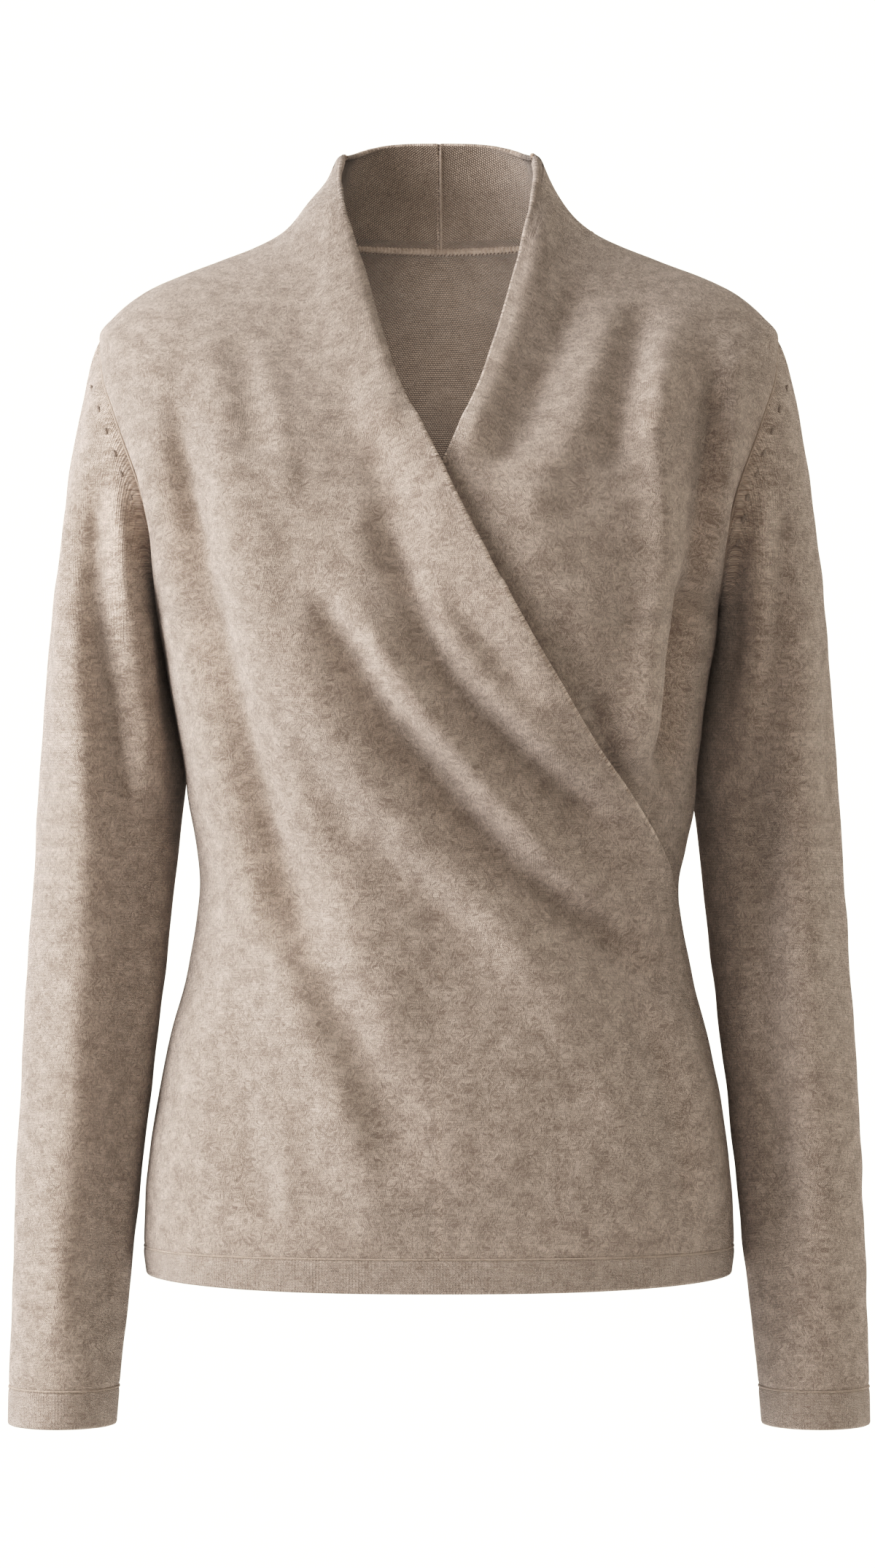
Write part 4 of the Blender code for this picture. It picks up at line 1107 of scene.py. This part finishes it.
def rope_mesh(name, ropes):
    """One mesh from several ropes, each given as the arguments of rope_parts."""
    points, faces, face_uv, start = [], [], [], 0
    for rope in ropes:
        rings, run = rope_parts(*rope)
        rows = len(rings)
        i, j = np.meshgrid(np.arange(rows - 1), np.arange(ROPE_SIDES), indexing="ij")
        i, j = i.ravel(), j.ravel()
        k = (j + 1) % ROPE_SIDES
        corners = [(i, j), (i + 1, j), (i + 1, k), (i, k)]
        faces.append(np.stack([a * ROPE_SIDES + b for a, b in corners], axis=1) + start)
        face_uv.append(np.stack([np.stack([run[a], b * 1.0], axis=-1) for a, b in corners], axis=1) * MM)
        points.append(rings.reshape(-1, 3))
        start += rows * ROPE_SIDES
    kinds = np.zeros(sum(len(quads) for quads in faces), int)
    return join_quads(name, np.concatenate(points), np.concatenate(faces), np.concatenate(face_uv), kinds)


def read_along(at, run, values):
    """Reads vectors given along a line at other lengths along it."""
    return np.stack([np.interp(at, run, values[:, axis]) for axis in range(3)], axis=1)


def even_line(points, step):
    """Points a step apart along a line."""
    run = run_along(points)
    at = np.linspace(0, run[-1], max(int(run[-1] / step), 2) + 1)
    return read_along(at, run, points)


def stitch_steps(count, length):
    """Places along a stitch, from one end to the other, as seen from its middle."""
    return np.linspace(-0.5, 0.5, count)[:, None] * length


def slanted_stitches(line, normals, stitches):
    """Short stitches along a line, each crossing it at the slant."""
    run = run_along(line)
    along = unit(np.gradient(line, axis=0))
    side = np.cross(normals, along)
    turn = math.radians(stitches.slant)
    thick = stitches.thick
    ropes = []
    for at in np.arange(stitches.pitch / 2, run[-1], stitches.pitch):
        k = int(np.argmin(np.abs(run - at)))
        leaning = along[k] * math.cos(turn) + side[k] * math.sin(turn)
        stitch = line[k] + leaning * stitch_steps(STITCH_RINGS, stitches.length)
        ropes.append((stitch, np.repeat(normals[k:k + 1], STITCH_RINGS, axis=0), thick, thick * STITCH_FLAT))
    return ropes


def build_neck_seams():
    """The linked neck seam and the collar's centre back seam, on the inside."""
    around = np.concatenate([np.linspace(NECK_SEAM_START, 2.0, NECK_SAMPLES),
                             np.linspace(-NECK_SEAM_END, -NECK_SEAM_START, NECK_SAMPLES)])
    line = even_line(form_points(around, NECK), FINE_ROPE_STEP)
    middle = np.array([0.0, line[:, 1].mean() + NECK_SEAM_CENTRE, 0.0])
    inward = unit((middle - line) * np.array([1.0, 1.0, 0.0]))
    line = line + inward * (WALL + NECK_SEAM_IN) + np.array([0.0, 0.0, NECK_SEAM_UP])
    down = np.array([0.0, 0.0, NECK_RIDGE.wide * NECK_STITCHES_DOWN])
    lower = line + inward * NECK_STITCHES_IN - down
    up = form_points(2.0, np.linspace(NECK, COLLAR_TOP - CENTRE_SEAM_SHORT, CENTRE_SAMPLES))
    up = even_line(up, FINE_ROPE_STEP)
    facing = np.tile([0.0, -1.0, 0.0], (len(up), 1))
    up = up + facing * (WALL + CENTRE_SEAM_IN)
    beside = np.array([CENTRE_SEAM_ASIDE, 0.0, 0.0])
    ridges = rope_mesh("seam_neck", [
        (line, inward, *NECK_RIDGE),
        (up + beside, facing, *CENTRE_RIDGE),
    ])
    across = up - beside * CENTRE_STITCHES_ASIDE
    stitches = rope_mesh("stitches_neck", slanted_stitches(lower, inward, NECK_STITCHES)
                         + slanted_stitches(across, facing, CENTRE_STITCHES))
    return ridges, stitches


def seam_rope(name, points, normals, ridge, sunk):
    """A rope round a seam, sunk into it."""
    return rope_mesh(name, [(points - normals * sunk, normals, *ridge)])


def build_ring_seam(name, side, place, ridge, sunk):
    """The ridge round a sleeve at one place down it."""
    ring = sleeve_grid(np.array([place, place + RING_NUDGE]))
    normals = unit(sleeve_normals(ring)[0])
    line = np.concatenate([ring[0], ring[0][:1]])
    normals = np.concatenate([normals, normals[:1]])
    even = even_line(line, ROPE_STEP)
    normals = unit(read_along(run_along(even), run_along(line), normals))
    return seam_rope(name, even * on_side(side), normals * on_side(side), ridge, sunk)


def build_hem_seam():
    """The ridge all round the hem band's seam."""
    around = np.concatenate([np.linspace(0, 2, HEM_SAMPLES), np.linspace(-2, 0, HEM_SAMPLES)[1:]])
    line = even_line(form_points(around, HEM_SEAM), ROPE_STEP)
    normals = unit((line - line.mean(axis=0)) * np.array(HEM_FACING))
    return seam_rope("seam_hem", line, normals, HEM_RIDGE, HEM_SUNK)


def build_marks(name, side):
    """Fashioning marks: slanted bright stitches in a row down the sleeve's front, beside the armhole."""
    grid = sleeve_grid(MARK_PLACES)
    normals = sleeve_normals(grid)
    front = normals[..., 1] < -MARK_FACING
    seam = grid[0]
    ropes = []
    for index in range(MARKS):
        z = MARK_TOP + MARK_STEP * index
        on_seam = seam[np.argmin(np.abs(seam[:, 2] - z) + FAR * (seam[:, 1] > 0))]
        x = on_seam[0] + MARK_AWAY - MARK_NEARER * index
        gap = np.hypot(grid[..., 0] - x, grid[..., 2] - z) + FAR * ~front
        row, column = np.unravel_index(np.argmin(gap), gap.shape)
        place, normal = grid[row, column], normals[row, column]
        lean = unit(np.array([MARK_LEAN, 0.0, 1.0]) - normal * normal[2])
        length = MARK_LENGTH - MARK_SHORTER * index
        line = place + lean * stitch_steps(MARK_RINGS, length) + normal * MARK_OFF
        facing = np.repeat(normal[None], MARK_RINGS, axis=0)
        ropes.append((line * on_side(side), facing * on_side(side), MARK_WIDE, MARK_TALL))
    return rope_mesh(name, ropes)


# ---------------------------------------------------------------- materials

# Finish of a knitted face, lengths in metres. wale and course are the loop's width and height, and lean
# is how far its legs slant. brick goes from the right side's two-legged loops (0) to the wrong side's
# round ones, set off by half a wale in each course (1). The two reliefs are heights. gap_shade is painted
# shade: how much darker the colour is in the gaps between loops.
Knit = namedtuple("Knit", "wale course lean brick loop_relief nap_relief hair_length "
                          "dark pale contrast gap_shade")
RIGHT_SIDE = Knit(0.00115, 0.00095, 0.5, 0.35, 0.00062, 0.00060, 0.0028, (0.410, 0.314, 0.250, 1),
                  (0.795, 0.652, 0.550, 1), 5.4, 0.45)
# The wrong side has its own purl face. Its colours are also darker than the right side's: painted shade for
# the inside of the garment.
WRONG_SIDE_PAINTED_DARKER = Knit(0.00150, 0.0012, 0.0, 1.0, 0.00080, 0.00030, 0.0020, (0.308, 0.230, 0.177, 1),
                  (0.580, 0.464, 0.379, 1), 2.4, 0.90)
BAND = Knit(0.00165, 0.00090, 0.3, 0.0, 0.00055, 0.00070, 0.0028, (0.374, 0.287, 0.230, 1),
            (0.679, 0.564, 0.480, 1), 3.6, 0.40)
# The linked yarn's colours are darker than the cloth's. This is partly painted shade for the inside of the
# neck, where its ridge lies. The seams outside share these colours.
LINKED_PAINTED_DARKER = Knit(0.0008, 0.0008, 0.5, 0.0, 0.00020, 0.00040, 0.0020, (0.320, 0.242, 0.188, 1),
              (0.660, 0.540, 0.450, 1), 2.5, 0.20)
STITCHED = Knit(0.0008, 0.0008, 0.5, 0.0, 0.00020, 0.00030, 0.0020, (0.150, 0.105, 0.078, 1),
                (0.330, 0.250, 0.200, 1), 2.5, 0.20)
SHEEN = 0.40
SHEEN_ROUGHNESS = 0.45
SHEEN_TINT = (1.0, 0.97, 0.94, 1)
SPECULAR = 0.2
PALE_ROUGHNESS = 0.84
DARK_ROUGHNESS = 0.94

# Noise over the cloth: its size across and along in metres, and the texture's own settings.
Pattern = namedtuple("Pattern", "across along detail roughness distortion")
WANDER = Pattern(0.0045, 0.0045, 2.0, 0.6, 0.0)
SWIRL = Pattern(0.007, 0.007, 1.0, 0.5, 0.0)
HAIRS = Pattern(0.0012, 0.003, 3.0, 0.62, 0.15)
CLOUDS = Pattern(0.011, 0.011, 2.0, 0.55, 0.0)
SPECKS = Pattern(0.00055, 0.0008, 1.0, 0.5, 0.0)
STREAKS = Pattern(0.0013, 0.0042, 2.0, 0.55, 0.4)

WANDER_SHARE = 0.3        # how far loops wander sideways, in wales
LOOP_ROUNDNESS = 0.6      # power of a sine: below 1 the loops are full and their gaps narrow
LOOP_MIDDLE = 0.25        # share of a loop's height that is left beside its legs
GAP_SHARPNESS = 2.0
HAIR_SWIRL = 0.012        # how far the hairs sway sideways in all, in metres
SPECK_SHARE = 0.25
CLOUD_SHARE = 0.35
STREAK_FROM = 0.56        # dark streaks start at this much of their noise
STREAK_CONTRAST = 5.0
STREAK_SHADE = 0.13

# Wale lines beside a free front edge, in metres.
EDGE_WALE_SPACING = 0.0021
EDGE_WALE_REACH = 0.0085
EDGE_WALE_RELIEF = 0.00007


class Graph:
    """Adds nodes to a material, a group or the world; values may be sockets or numbers."""

    def __init__(self, tree):
        self.tree = tree

    def add(self, kind, values=(), **settings):
        node = self.tree.nodes.new(kind)
        for key, value in settings.items():
            setattr(node, key, value)
        for key, value in dict(values).items():
            self.give(node.inputs[key], value)
        return node

    def give(self, socket, value):
        if isinstance(value, bpy.types.NodeSocket):
            self.tree.links.new(value, socket)
        else:
            socket.default_value = value

    def group(self, tree, values):
        return self.add("ShaderNodeGroup", values, node_tree=tree).outputs

    def math(self, operation, *values):
        return self.add("ShaderNodeMath", enumerate(values), operation=operation).outputs[0]

    def product(self, first, second):
        return self.math("MULTIPLY", first, second)

    def clamped(self, value):
        return self.add("ShaderNodeClamp", {"Value": value}).outputs[0]

    def half_wave(self, share):
        """0 where the share is 0 or 1, and 1 between."""
        return self.math("SINE", self.product(share, math.pi))

    def between(self, share, first, second):
        """first where the share is 0, second where it is 1."""
        return self.math("ADD", first, self.product(share, self.math("SUBTRACT", second, first)))

    def contrasted(self, value, middle, contrast):
        """The value's distance from the middle, times the contrast."""
        return self.product(self.math("SUBTRACT", value, middle), contrast)

    def vector(self, operation, *values):
        return self.add("ShaderNodeVectorMath", enumerate(values), operation=operation).outputs[0]

    def scaled(self, vector, factor):
        return self.add("ShaderNodeVectorMath", {0: vector, "Scale": factor}, operation="SCALE").outputs[0]

    def joined(self, *parts):
        return self.add("ShaderNodeCombineXYZ", enumerate(parts)).outputs[0]

    def parts(self, vector):
        return self.add("ShaderNodeSeparateXYZ", {0: vector}).outputs

    def in_steps(self, place, across, along):
        """The place on the cloth counted in steps of these lengths, each way."""
        return self.vector("DIVIDE", place, self.joined(across, along, 1.0))

    def noise(self, place, pattern):
        steps = self.in_steps(place, pattern.across, pattern.along)
        values = {"Vector": steps, "Scale": 1.0, "Detail": pattern.detail, "Roughness": pattern.roughness,
                  "Distortion": pattern.distortion}
        return self.add("ShaderNodeTexNoise", values).outputs["Fac"]

    def colour(self, share, first, second):
        return self.add("ShaderNodeMix", {0: share, 6: first, 7: second}, data_type="RGBA").outputs[2]

    def bump(self, height, distance, normal=None):
        bump = self.add("ShaderNodeBump", {"Height": height, "Distance": distance})
        if normal is not None:
            self.give(bump.inputs["Normal"], normal)
        return bump.outputs["Normal"]


def new_group(name, inputs, outputs):
    """An empty node group with these inputs (name, kind, value) and outputs (name, kind)."""
    tree = bpy.data.node_groups.new(name, "ShaderNodeTree")
    for label, kind, value in inputs:
        socket = tree.interface.new_socket(label, in_out="INPUT", socket_type="NodeSocket" + kind)
        socket.default_value = value
    for label, kind in outputs:
        tree.interface.new_socket(label, in_out="OUTPUT", socket_type="NodeSocket" + kind)
    given = tree.nodes.new("NodeGroupInput").outputs
    result = tree.nodes.new("NodeGroupOutput").inputs
    return tree, Graph(tree), given, result


def build_loops_group():
    """Rows of knitted loops: the two legs of each loop stand up, the gaps between them are deep."""
    tree, graph, given, result = new_group(
        "knitted_loops",
        [("Place", "Vector", (0, 0, 0)), ("Wale", "Float", 0.001), ("Course", "Float", 0.001),
         ("Lean", "Float", 0.5), ("Brick", "Float", 0.0), ("Unevenness", "Float", WANDER_SHARE)],
        [("Height", "Float"), ("Gap", "Float")])
    wander = graph.contrasted(graph.noise(given["Place"], WANDER), 0.5, given["Unevenness"])
    parts = graph.parts(graph.in_steps(given["Place"], given["Wale"], given["Course"]))
    shift = graph.product(graph.math("FLOOR", parts[1]), graph.product(given["Brick"], 0.5))
    across = graph.math("FRACT", graph.math("ADD", graph.math("ADD", parts[0], shift), wander))
    leg = graph.math("ABSOLUTE", graph.math("SUBTRACT", graph.product(across, 2.0), 1.0))
    up = graph.math("FRACT", graph.math("ADD", parts[1], graph.product(leg, given["Lean"])))
    round_loop = graph.math("POWER", graph.half_wave(across), LOOP_ROUNDNESS)
    side = graph.between(given["Brick"], graph.half_wave(leg), round_loop)
    rise = graph.math("POWER", graph.half_wave(up), LOOP_ROUNDNESS)
    height = graph.product(rise, graph.between(LOOP_MIDDLE, side, 1.0))
    graph.give(result["Height"], height)
    graph.give(result["Gap"], graph.math("POWER", graph.math("SUBTRACT", 1.0, height), GAP_SHARPNESS))
    return tree


def build_nap_group():
    """Brushed surface: crinkled hairs along the wales, soft clouds, fine specks and dark streaks."""
    tree, graph, given, result = new_group(
        "brushed_nap",
        [("Place", "Vector", (0, 0, 0)), ("Hair Width", "Float", HAIRS.across),
         ("Hair Length", "Float", HAIRS.along), ("Cloud", "Float", CLOUDS.across)],
        [("Height", "Float"), ("Mottle", "Float")])
    place = given["Place"]
    swirl = graph.contrasted(graph.noise(place, SWIRL), 0.5, HAIR_SWIRL)
    parts = graph.parts(place)
    swaying = graph.joined(graph.math("ADD", parts[0], swirl), parts[1], 0.0)
    hairs = HAIRS._replace(across=given["Hair Width"], along=given["Hair Length"])
    hairs = graph.noise(swaying, hairs)
    clouds = graph.noise(place, CLOUDS._replace(across=given["Cloud"], along=given["Cloud"]))
    specks = graph.noise(place, SPECKS)
    streaks = graph.contrasted(graph.noise(swaying, STREAKS), STREAK_FROM, STREAK_CONTRAST)
    shade = graph.product(graph.clamped(streaks), STREAK_SHADE)
    mottle = graph.between(SPECK_SHARE, graph.between(CLOUD_SHARE, hairs, clouds), specks)
    graph.give(result["Height"], graph.between(SPECK_SHARE, hairs, specks))
    graph.give(result["Mottle"], graph.math("SUBTRACT", mottle, shade))
    return tree


def build_marl_group():
    """Yarn spun from pale and dark fibres; gaps between loops are in shade."""
    tree, graph, given, result = new_group(
        "marled_yarn",
        [("Mottle", "Float", 0.5), ("Gap", "Float", 0.0), ("Dark", "Color", (0.2, 0.2, 0.2, 1)),
         ("Pale", "Color", (0.6, 0.6, 0.6, 1)), ("Contrast", "Float", 1.0), ("Gap Shade", "Float", 0.3)],
        [("Color", "Color"), ("Roughness", "Float")])
    share = graph.contrasted(given["Mottle"], 0.5, given["Contrast"])
    share = graph.clamped(graph.math("ADD", share, 0.5))
    yarn = graph.colour(share, given["Dark"], given["Pale"])
    # Painted shade: the yarn's colour is darker in the gaps between loops.
    shade = graph.math("SUBTRACT", 1.0, graph.product(given["Gap"], given["Gap Shade"]))
    graph.give(result["Color"], graph.scaled(yarn, shade))
    graph.give(result["Roughness"], graph.between(share, DARK_ROUGHNESS, PALE_ROUGHNESS))
    return tree


def build_edge_group():
    """Wale lines that run beside a free front edge."""
    tree, graph, given, result = new_group(
        "edge_wales",
        [("Edge Run", "Float", 0.1), ("Spacing", "Float", EDGE_WALE_SPACING),
         ("Reach", "Float", EDGE_WALE_REACH)],
        [("Height", "Float")])
    wales = graph.math("DIVIDE", given["Edge Run"], given["Spacing"])
    wave = graph.math("SINE", graph.product(wales, 2 * math.pi))
    near = graph.math("LESS_THAN", given["Edge Run"], given["Reach"])
    graph.give(result["Height"], graph.product(near, wave))
    return tree


def knit_material(name, knit, groups):
    """Material of one face of the cloth, from the shared groups."""
    material = bpy.data.materials.new(name)
    material.use_nodes = True
    graph = Graph(material.node_tree)
    place = graph.add("ShaderNodeUVMap", uv_map="cloth").outputs[0]
    edge_run = graph.add("ShaderNodeAttribute", attribute_name="edge_run").outputs["Fac"]
    loops = graph.group(groups["loops"], {"Place": place, "Wale": knit.wale, "Course": knit.course,
                                          "Lean": knit.lean, "Brick": knit.brick})
    nap = graph.group(groups["nap"], {"Place": place, "Hair Length": knit.hair_length})
    marl = graph.group(groups["marl"], {"Mottle": nap["Mottle"], "Gap": loops["Gap"], "Dark": knit.dark,
                                        "Pale": knit.pale, "Contrast": knit.contrast,
                                        "Gap Shade": knit.gap_shade})
    edge = graph.group(groups["edge"], {"Edge Run": edge_run})
    normal = graph.bump(nap["Height"], knit.nap_relief)
    normal = graph.bump(edge["Height"], EDGE_WALE_RELIEF, normal)
    normal = graph.bump(loops["Height"], knit.loop_relief, normal)
    shader = material.node_tree.nodes["Principled BSDF"]
    graph.give(shader.inputs["Base Color"], marl["Color"])
    graph.give(shader.inputs["Roughness"], marl["Roughness"])
    graph.give(shader.inputs["Normal"], normal)
    shader.inputs["Sheen Weight"].default_value = SHEEN
    shader.inputs["Sheen Roughness"].default_value = SHEEN_ROUGHNESS
    shader.inputs["Sheen Tint"].default_value = SHEEN_TINT
    shader.inputs["Specular IOR Level"].default_value = SPECULAR
    return material


# ---------------------------------------------------------------- assembly

SIDES = ((1, "left"), (-1, "right"))


def finish_piece(piece, outside, inside):
    piece.data.materials.append(outside)
    piece.data.materials.append(inside)
    node = piece.name[len("knit_"):]
    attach(piece, "root")
    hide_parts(node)


def finish_trim(piece, material):
    piece.data.materials.append(material)
    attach(piece, "root")


def build_cloth(groups):
    """The nine knitted pieces."""
    knit = knit_material("cashmere_right_side", RIGHT_SIDE, groups)
    # Inner faces: the purl face, darker partly as painted shade inside the garment.
    purl_in_painted_shade = knit_material("cashmere_wrong_side", WRONG_SIDE_PAINTED_DARKER, groups)
    band = knit_material("cashmere_band", BAND, groups)
    finish_piece(build_front("knit_front_right", "over", -1), knit, purl_in_painted_shade)
    finish_piece(build_front("knit_front_left", "under", 1), knit, purl_in_painted_shade)
    finish_piece(build_back("knit_back"), knit, purl_in_painted_shade)
    for side, word in SIDES:
        sleeve = build_sleeve("knit_sleeve_" + word, side, SLEEVE_FOLDS[word], UNEVEN_SEEDS[word])
        finish_piece(sleeve, knit, purl_in_painted_shade)
    finish_piece(build_hem("knit_hem_front", front_hem_places), band, purl_in_painted_shade)
    finish_piece(build_hem("knit_hem_back", back_hem_places), band, purl_in_painted_shade)
    for side, word in SIDES:
        finish_piece(build_cuff("knit_cuff_" + word, side), band, purl_in_painted_shade)
    return knit


def build_trims(groups, knit):
    """Linked ridges and their stitches, and the fashioning marks."""
    # Linked yarn, darker partly as painted shade inside the neck.
    linked = knit_material("linked_yarn", LINKED_PAINTED_DARKER, groups)
    stitched = knit_material("stitch_yarn", STITCHED, groups)
    ridges, stitches = build_neck_seams()
    finish_trim(ridges, linked)
    finish_trim(stitches, stitched)
    finish_trim(build_hem_seam(), linked)
    for side, word in SIDES:
        armhole = build_ring_seam("seam_armhole_" + word, side, 0.0, ARMHOLE_RIDGE, ARMHOLE_SUNK)
        finish_trim(armhole, linked)
        cuff = build_ring_seam("seam_cuff_" + word, side, CUFF_RING - CUFF_BACK, CUFF_RIDGE, CUFF_SUNK)
        finish_trim(cuff, linked)
        finish_trim(build_marks("marks_sleeve_" + word, side), knit)


def build_garment():
    groups = {"loops": build_loops_group(), "nap": build_nap_group(), "marl": build_marl_group(),
              "edge": build_edge_group()}
    knit = build_cloth(groups)
    build_trims(groups, knit)


# ---------------------------------------------------------------- studio

def build_camera():
    camera = bpy.data.cameras.new("camera")
    camera.lens = CAMERA_LENS
    camera.sensor_width = CAMERA_SENSOR
    obj = add_object("camera", camera)
    obj.location = CAMERA_PLACE
    obj.rotation_euler = (math.radians(90), 0, 0)
    bpy.context.scene.camera = obj


def direction(azimuth, height):
    """Unit vector towards an azimuth, from the front and growing to the wearer's left, and a height."""
    a, h = math.radians(azimuth), math.radians(height)
    return np.array([math.sin(a) * math.cos(h), -math.cos(a) * math.cos(h), math.sin(h)])


def build_light(name, size, power, place, azimuth, height):
    """A soft rectangular light at a place, shining from that azimuth and height."""
    light = bpy.data.lights.new(name, "AREA")
    light.shape = "RECTANGLE"
    light.size, light.size_y = size
    light.energy = power
    obj = add_object(name, light)
    obj.location = place
    obj.rotation_euler = (math.radians(90 - height), 0, math.radians(azimuth))
    return obj


def build_lights():
    """A tall soft box well to the side, so that every fold shows, and a small soft light in the neck."""
    place = direction(KEY_AZIMUTH, KEY_HEIGHT) * KEY_DISTANCE + np.array(KEY_TARGET)
    key = build_light("key", KEY_SIZE, KEY_POWER, place, KEY_AZIMUTH, KEY_HEIGHT)
    key.data.color = KEY_COLOR
    neck = build_light("neck", NECK_LIGHT_SIZE, NECK_LIGHT_POWER, NECK_LIGHT_PLACE, NECK_LIGHT_TURN, 0)
    neck.visible_camera = False


def build_surroundings():
    """White to the camera; soft pale panels round the garment as light."""
    world = bpy.data.worlds.new("studio")
    bpy.context.scene.world = world
    world.use_nodes = True
    world.node_tree.nodes.clear()
    graph = Graph(world.node_tree)
    outwards = graph.add("ShaderNodeTexCoord").outputs["Generated"]
    light = (0.0, 0.0, 0.0)
    for panel in PANELS:
        towards = direction(panel.azimuth, panel.height)
        facing = graph.add("ShaderNodeVectorMath", {0: outwards, 1: towards}, operation="DOT_PRODUCT")
        soft = graph.math("POWER", graph.math("MAXIMUM", facing.outputs["Value"], 0.0), panel.sharpness)
        light = graph.vector("ADD", light, graph.scaled(panel.color, soft))
    lit = graph.add("ShaderNodeBackground", {"Color": light}).outputs[0]
    seen = graph.add("ShaderNodeBackground", {"Color": BACKDROP}).outputs[0]
    by_camera = graph.add("ShaderNodeLightPath").outputs["Is Camera Ray"]
    mixed = graph.add("ShaderNodeMixShader", {"Fac": by_camera, 1: lit, 2: seen}).outputs[0]
    graph.add("ShaderNodeOutputWorld", {"Surface": mixed})


def build_floor():
    mesh = bpy.data.meshes.new("floor")
    turns = [2 * math.pi * i / FLOOR_SIDES for i in range(FLOOR_SIDES)]
    rim = [(FLOOR_RADIUS * math.cos(turn), FLOOR_RADIUS * math.sin(turn), FLOOR_Z) for turn in turns]
    mesh.from_pydata(rim, [], [range(FLOOR_SIDES)])
    material = bpy.data.materials.new("pale_floor")
    material.use_nodes = True
    shader = material.node_tree.nodes["Principled BSDF"]
    shader.inputs["Base Color"].default_value = FLOOR_COLOR
    shader.inputs["Roughness"].default_value = FLOOR_ROUGHNESS
    mesh.materials.append(material)
    add_object("floor", mesh)


def set_tone():
    """Deep shade a little deeper, brightest cloth held back."""
    view = bpy.context.scene.view_settings
    view.view_transform = "Standard"
    view.use_curve_mapping = True
    mapping = view.curve_mapping
    mapping.clip_max_x = TONE[-1].light
    curve = mapping.curves[3]
    curve.points[0].location = TONE[0]
    curve.points[-1].location = TONE[-1]
    for point in TONE[1:-1]:
        curve.points.new(*point)
    mapping.update()


set_tone()
build_camera()
build_garment()
build_lights()
build_surroundings()
build_floor()
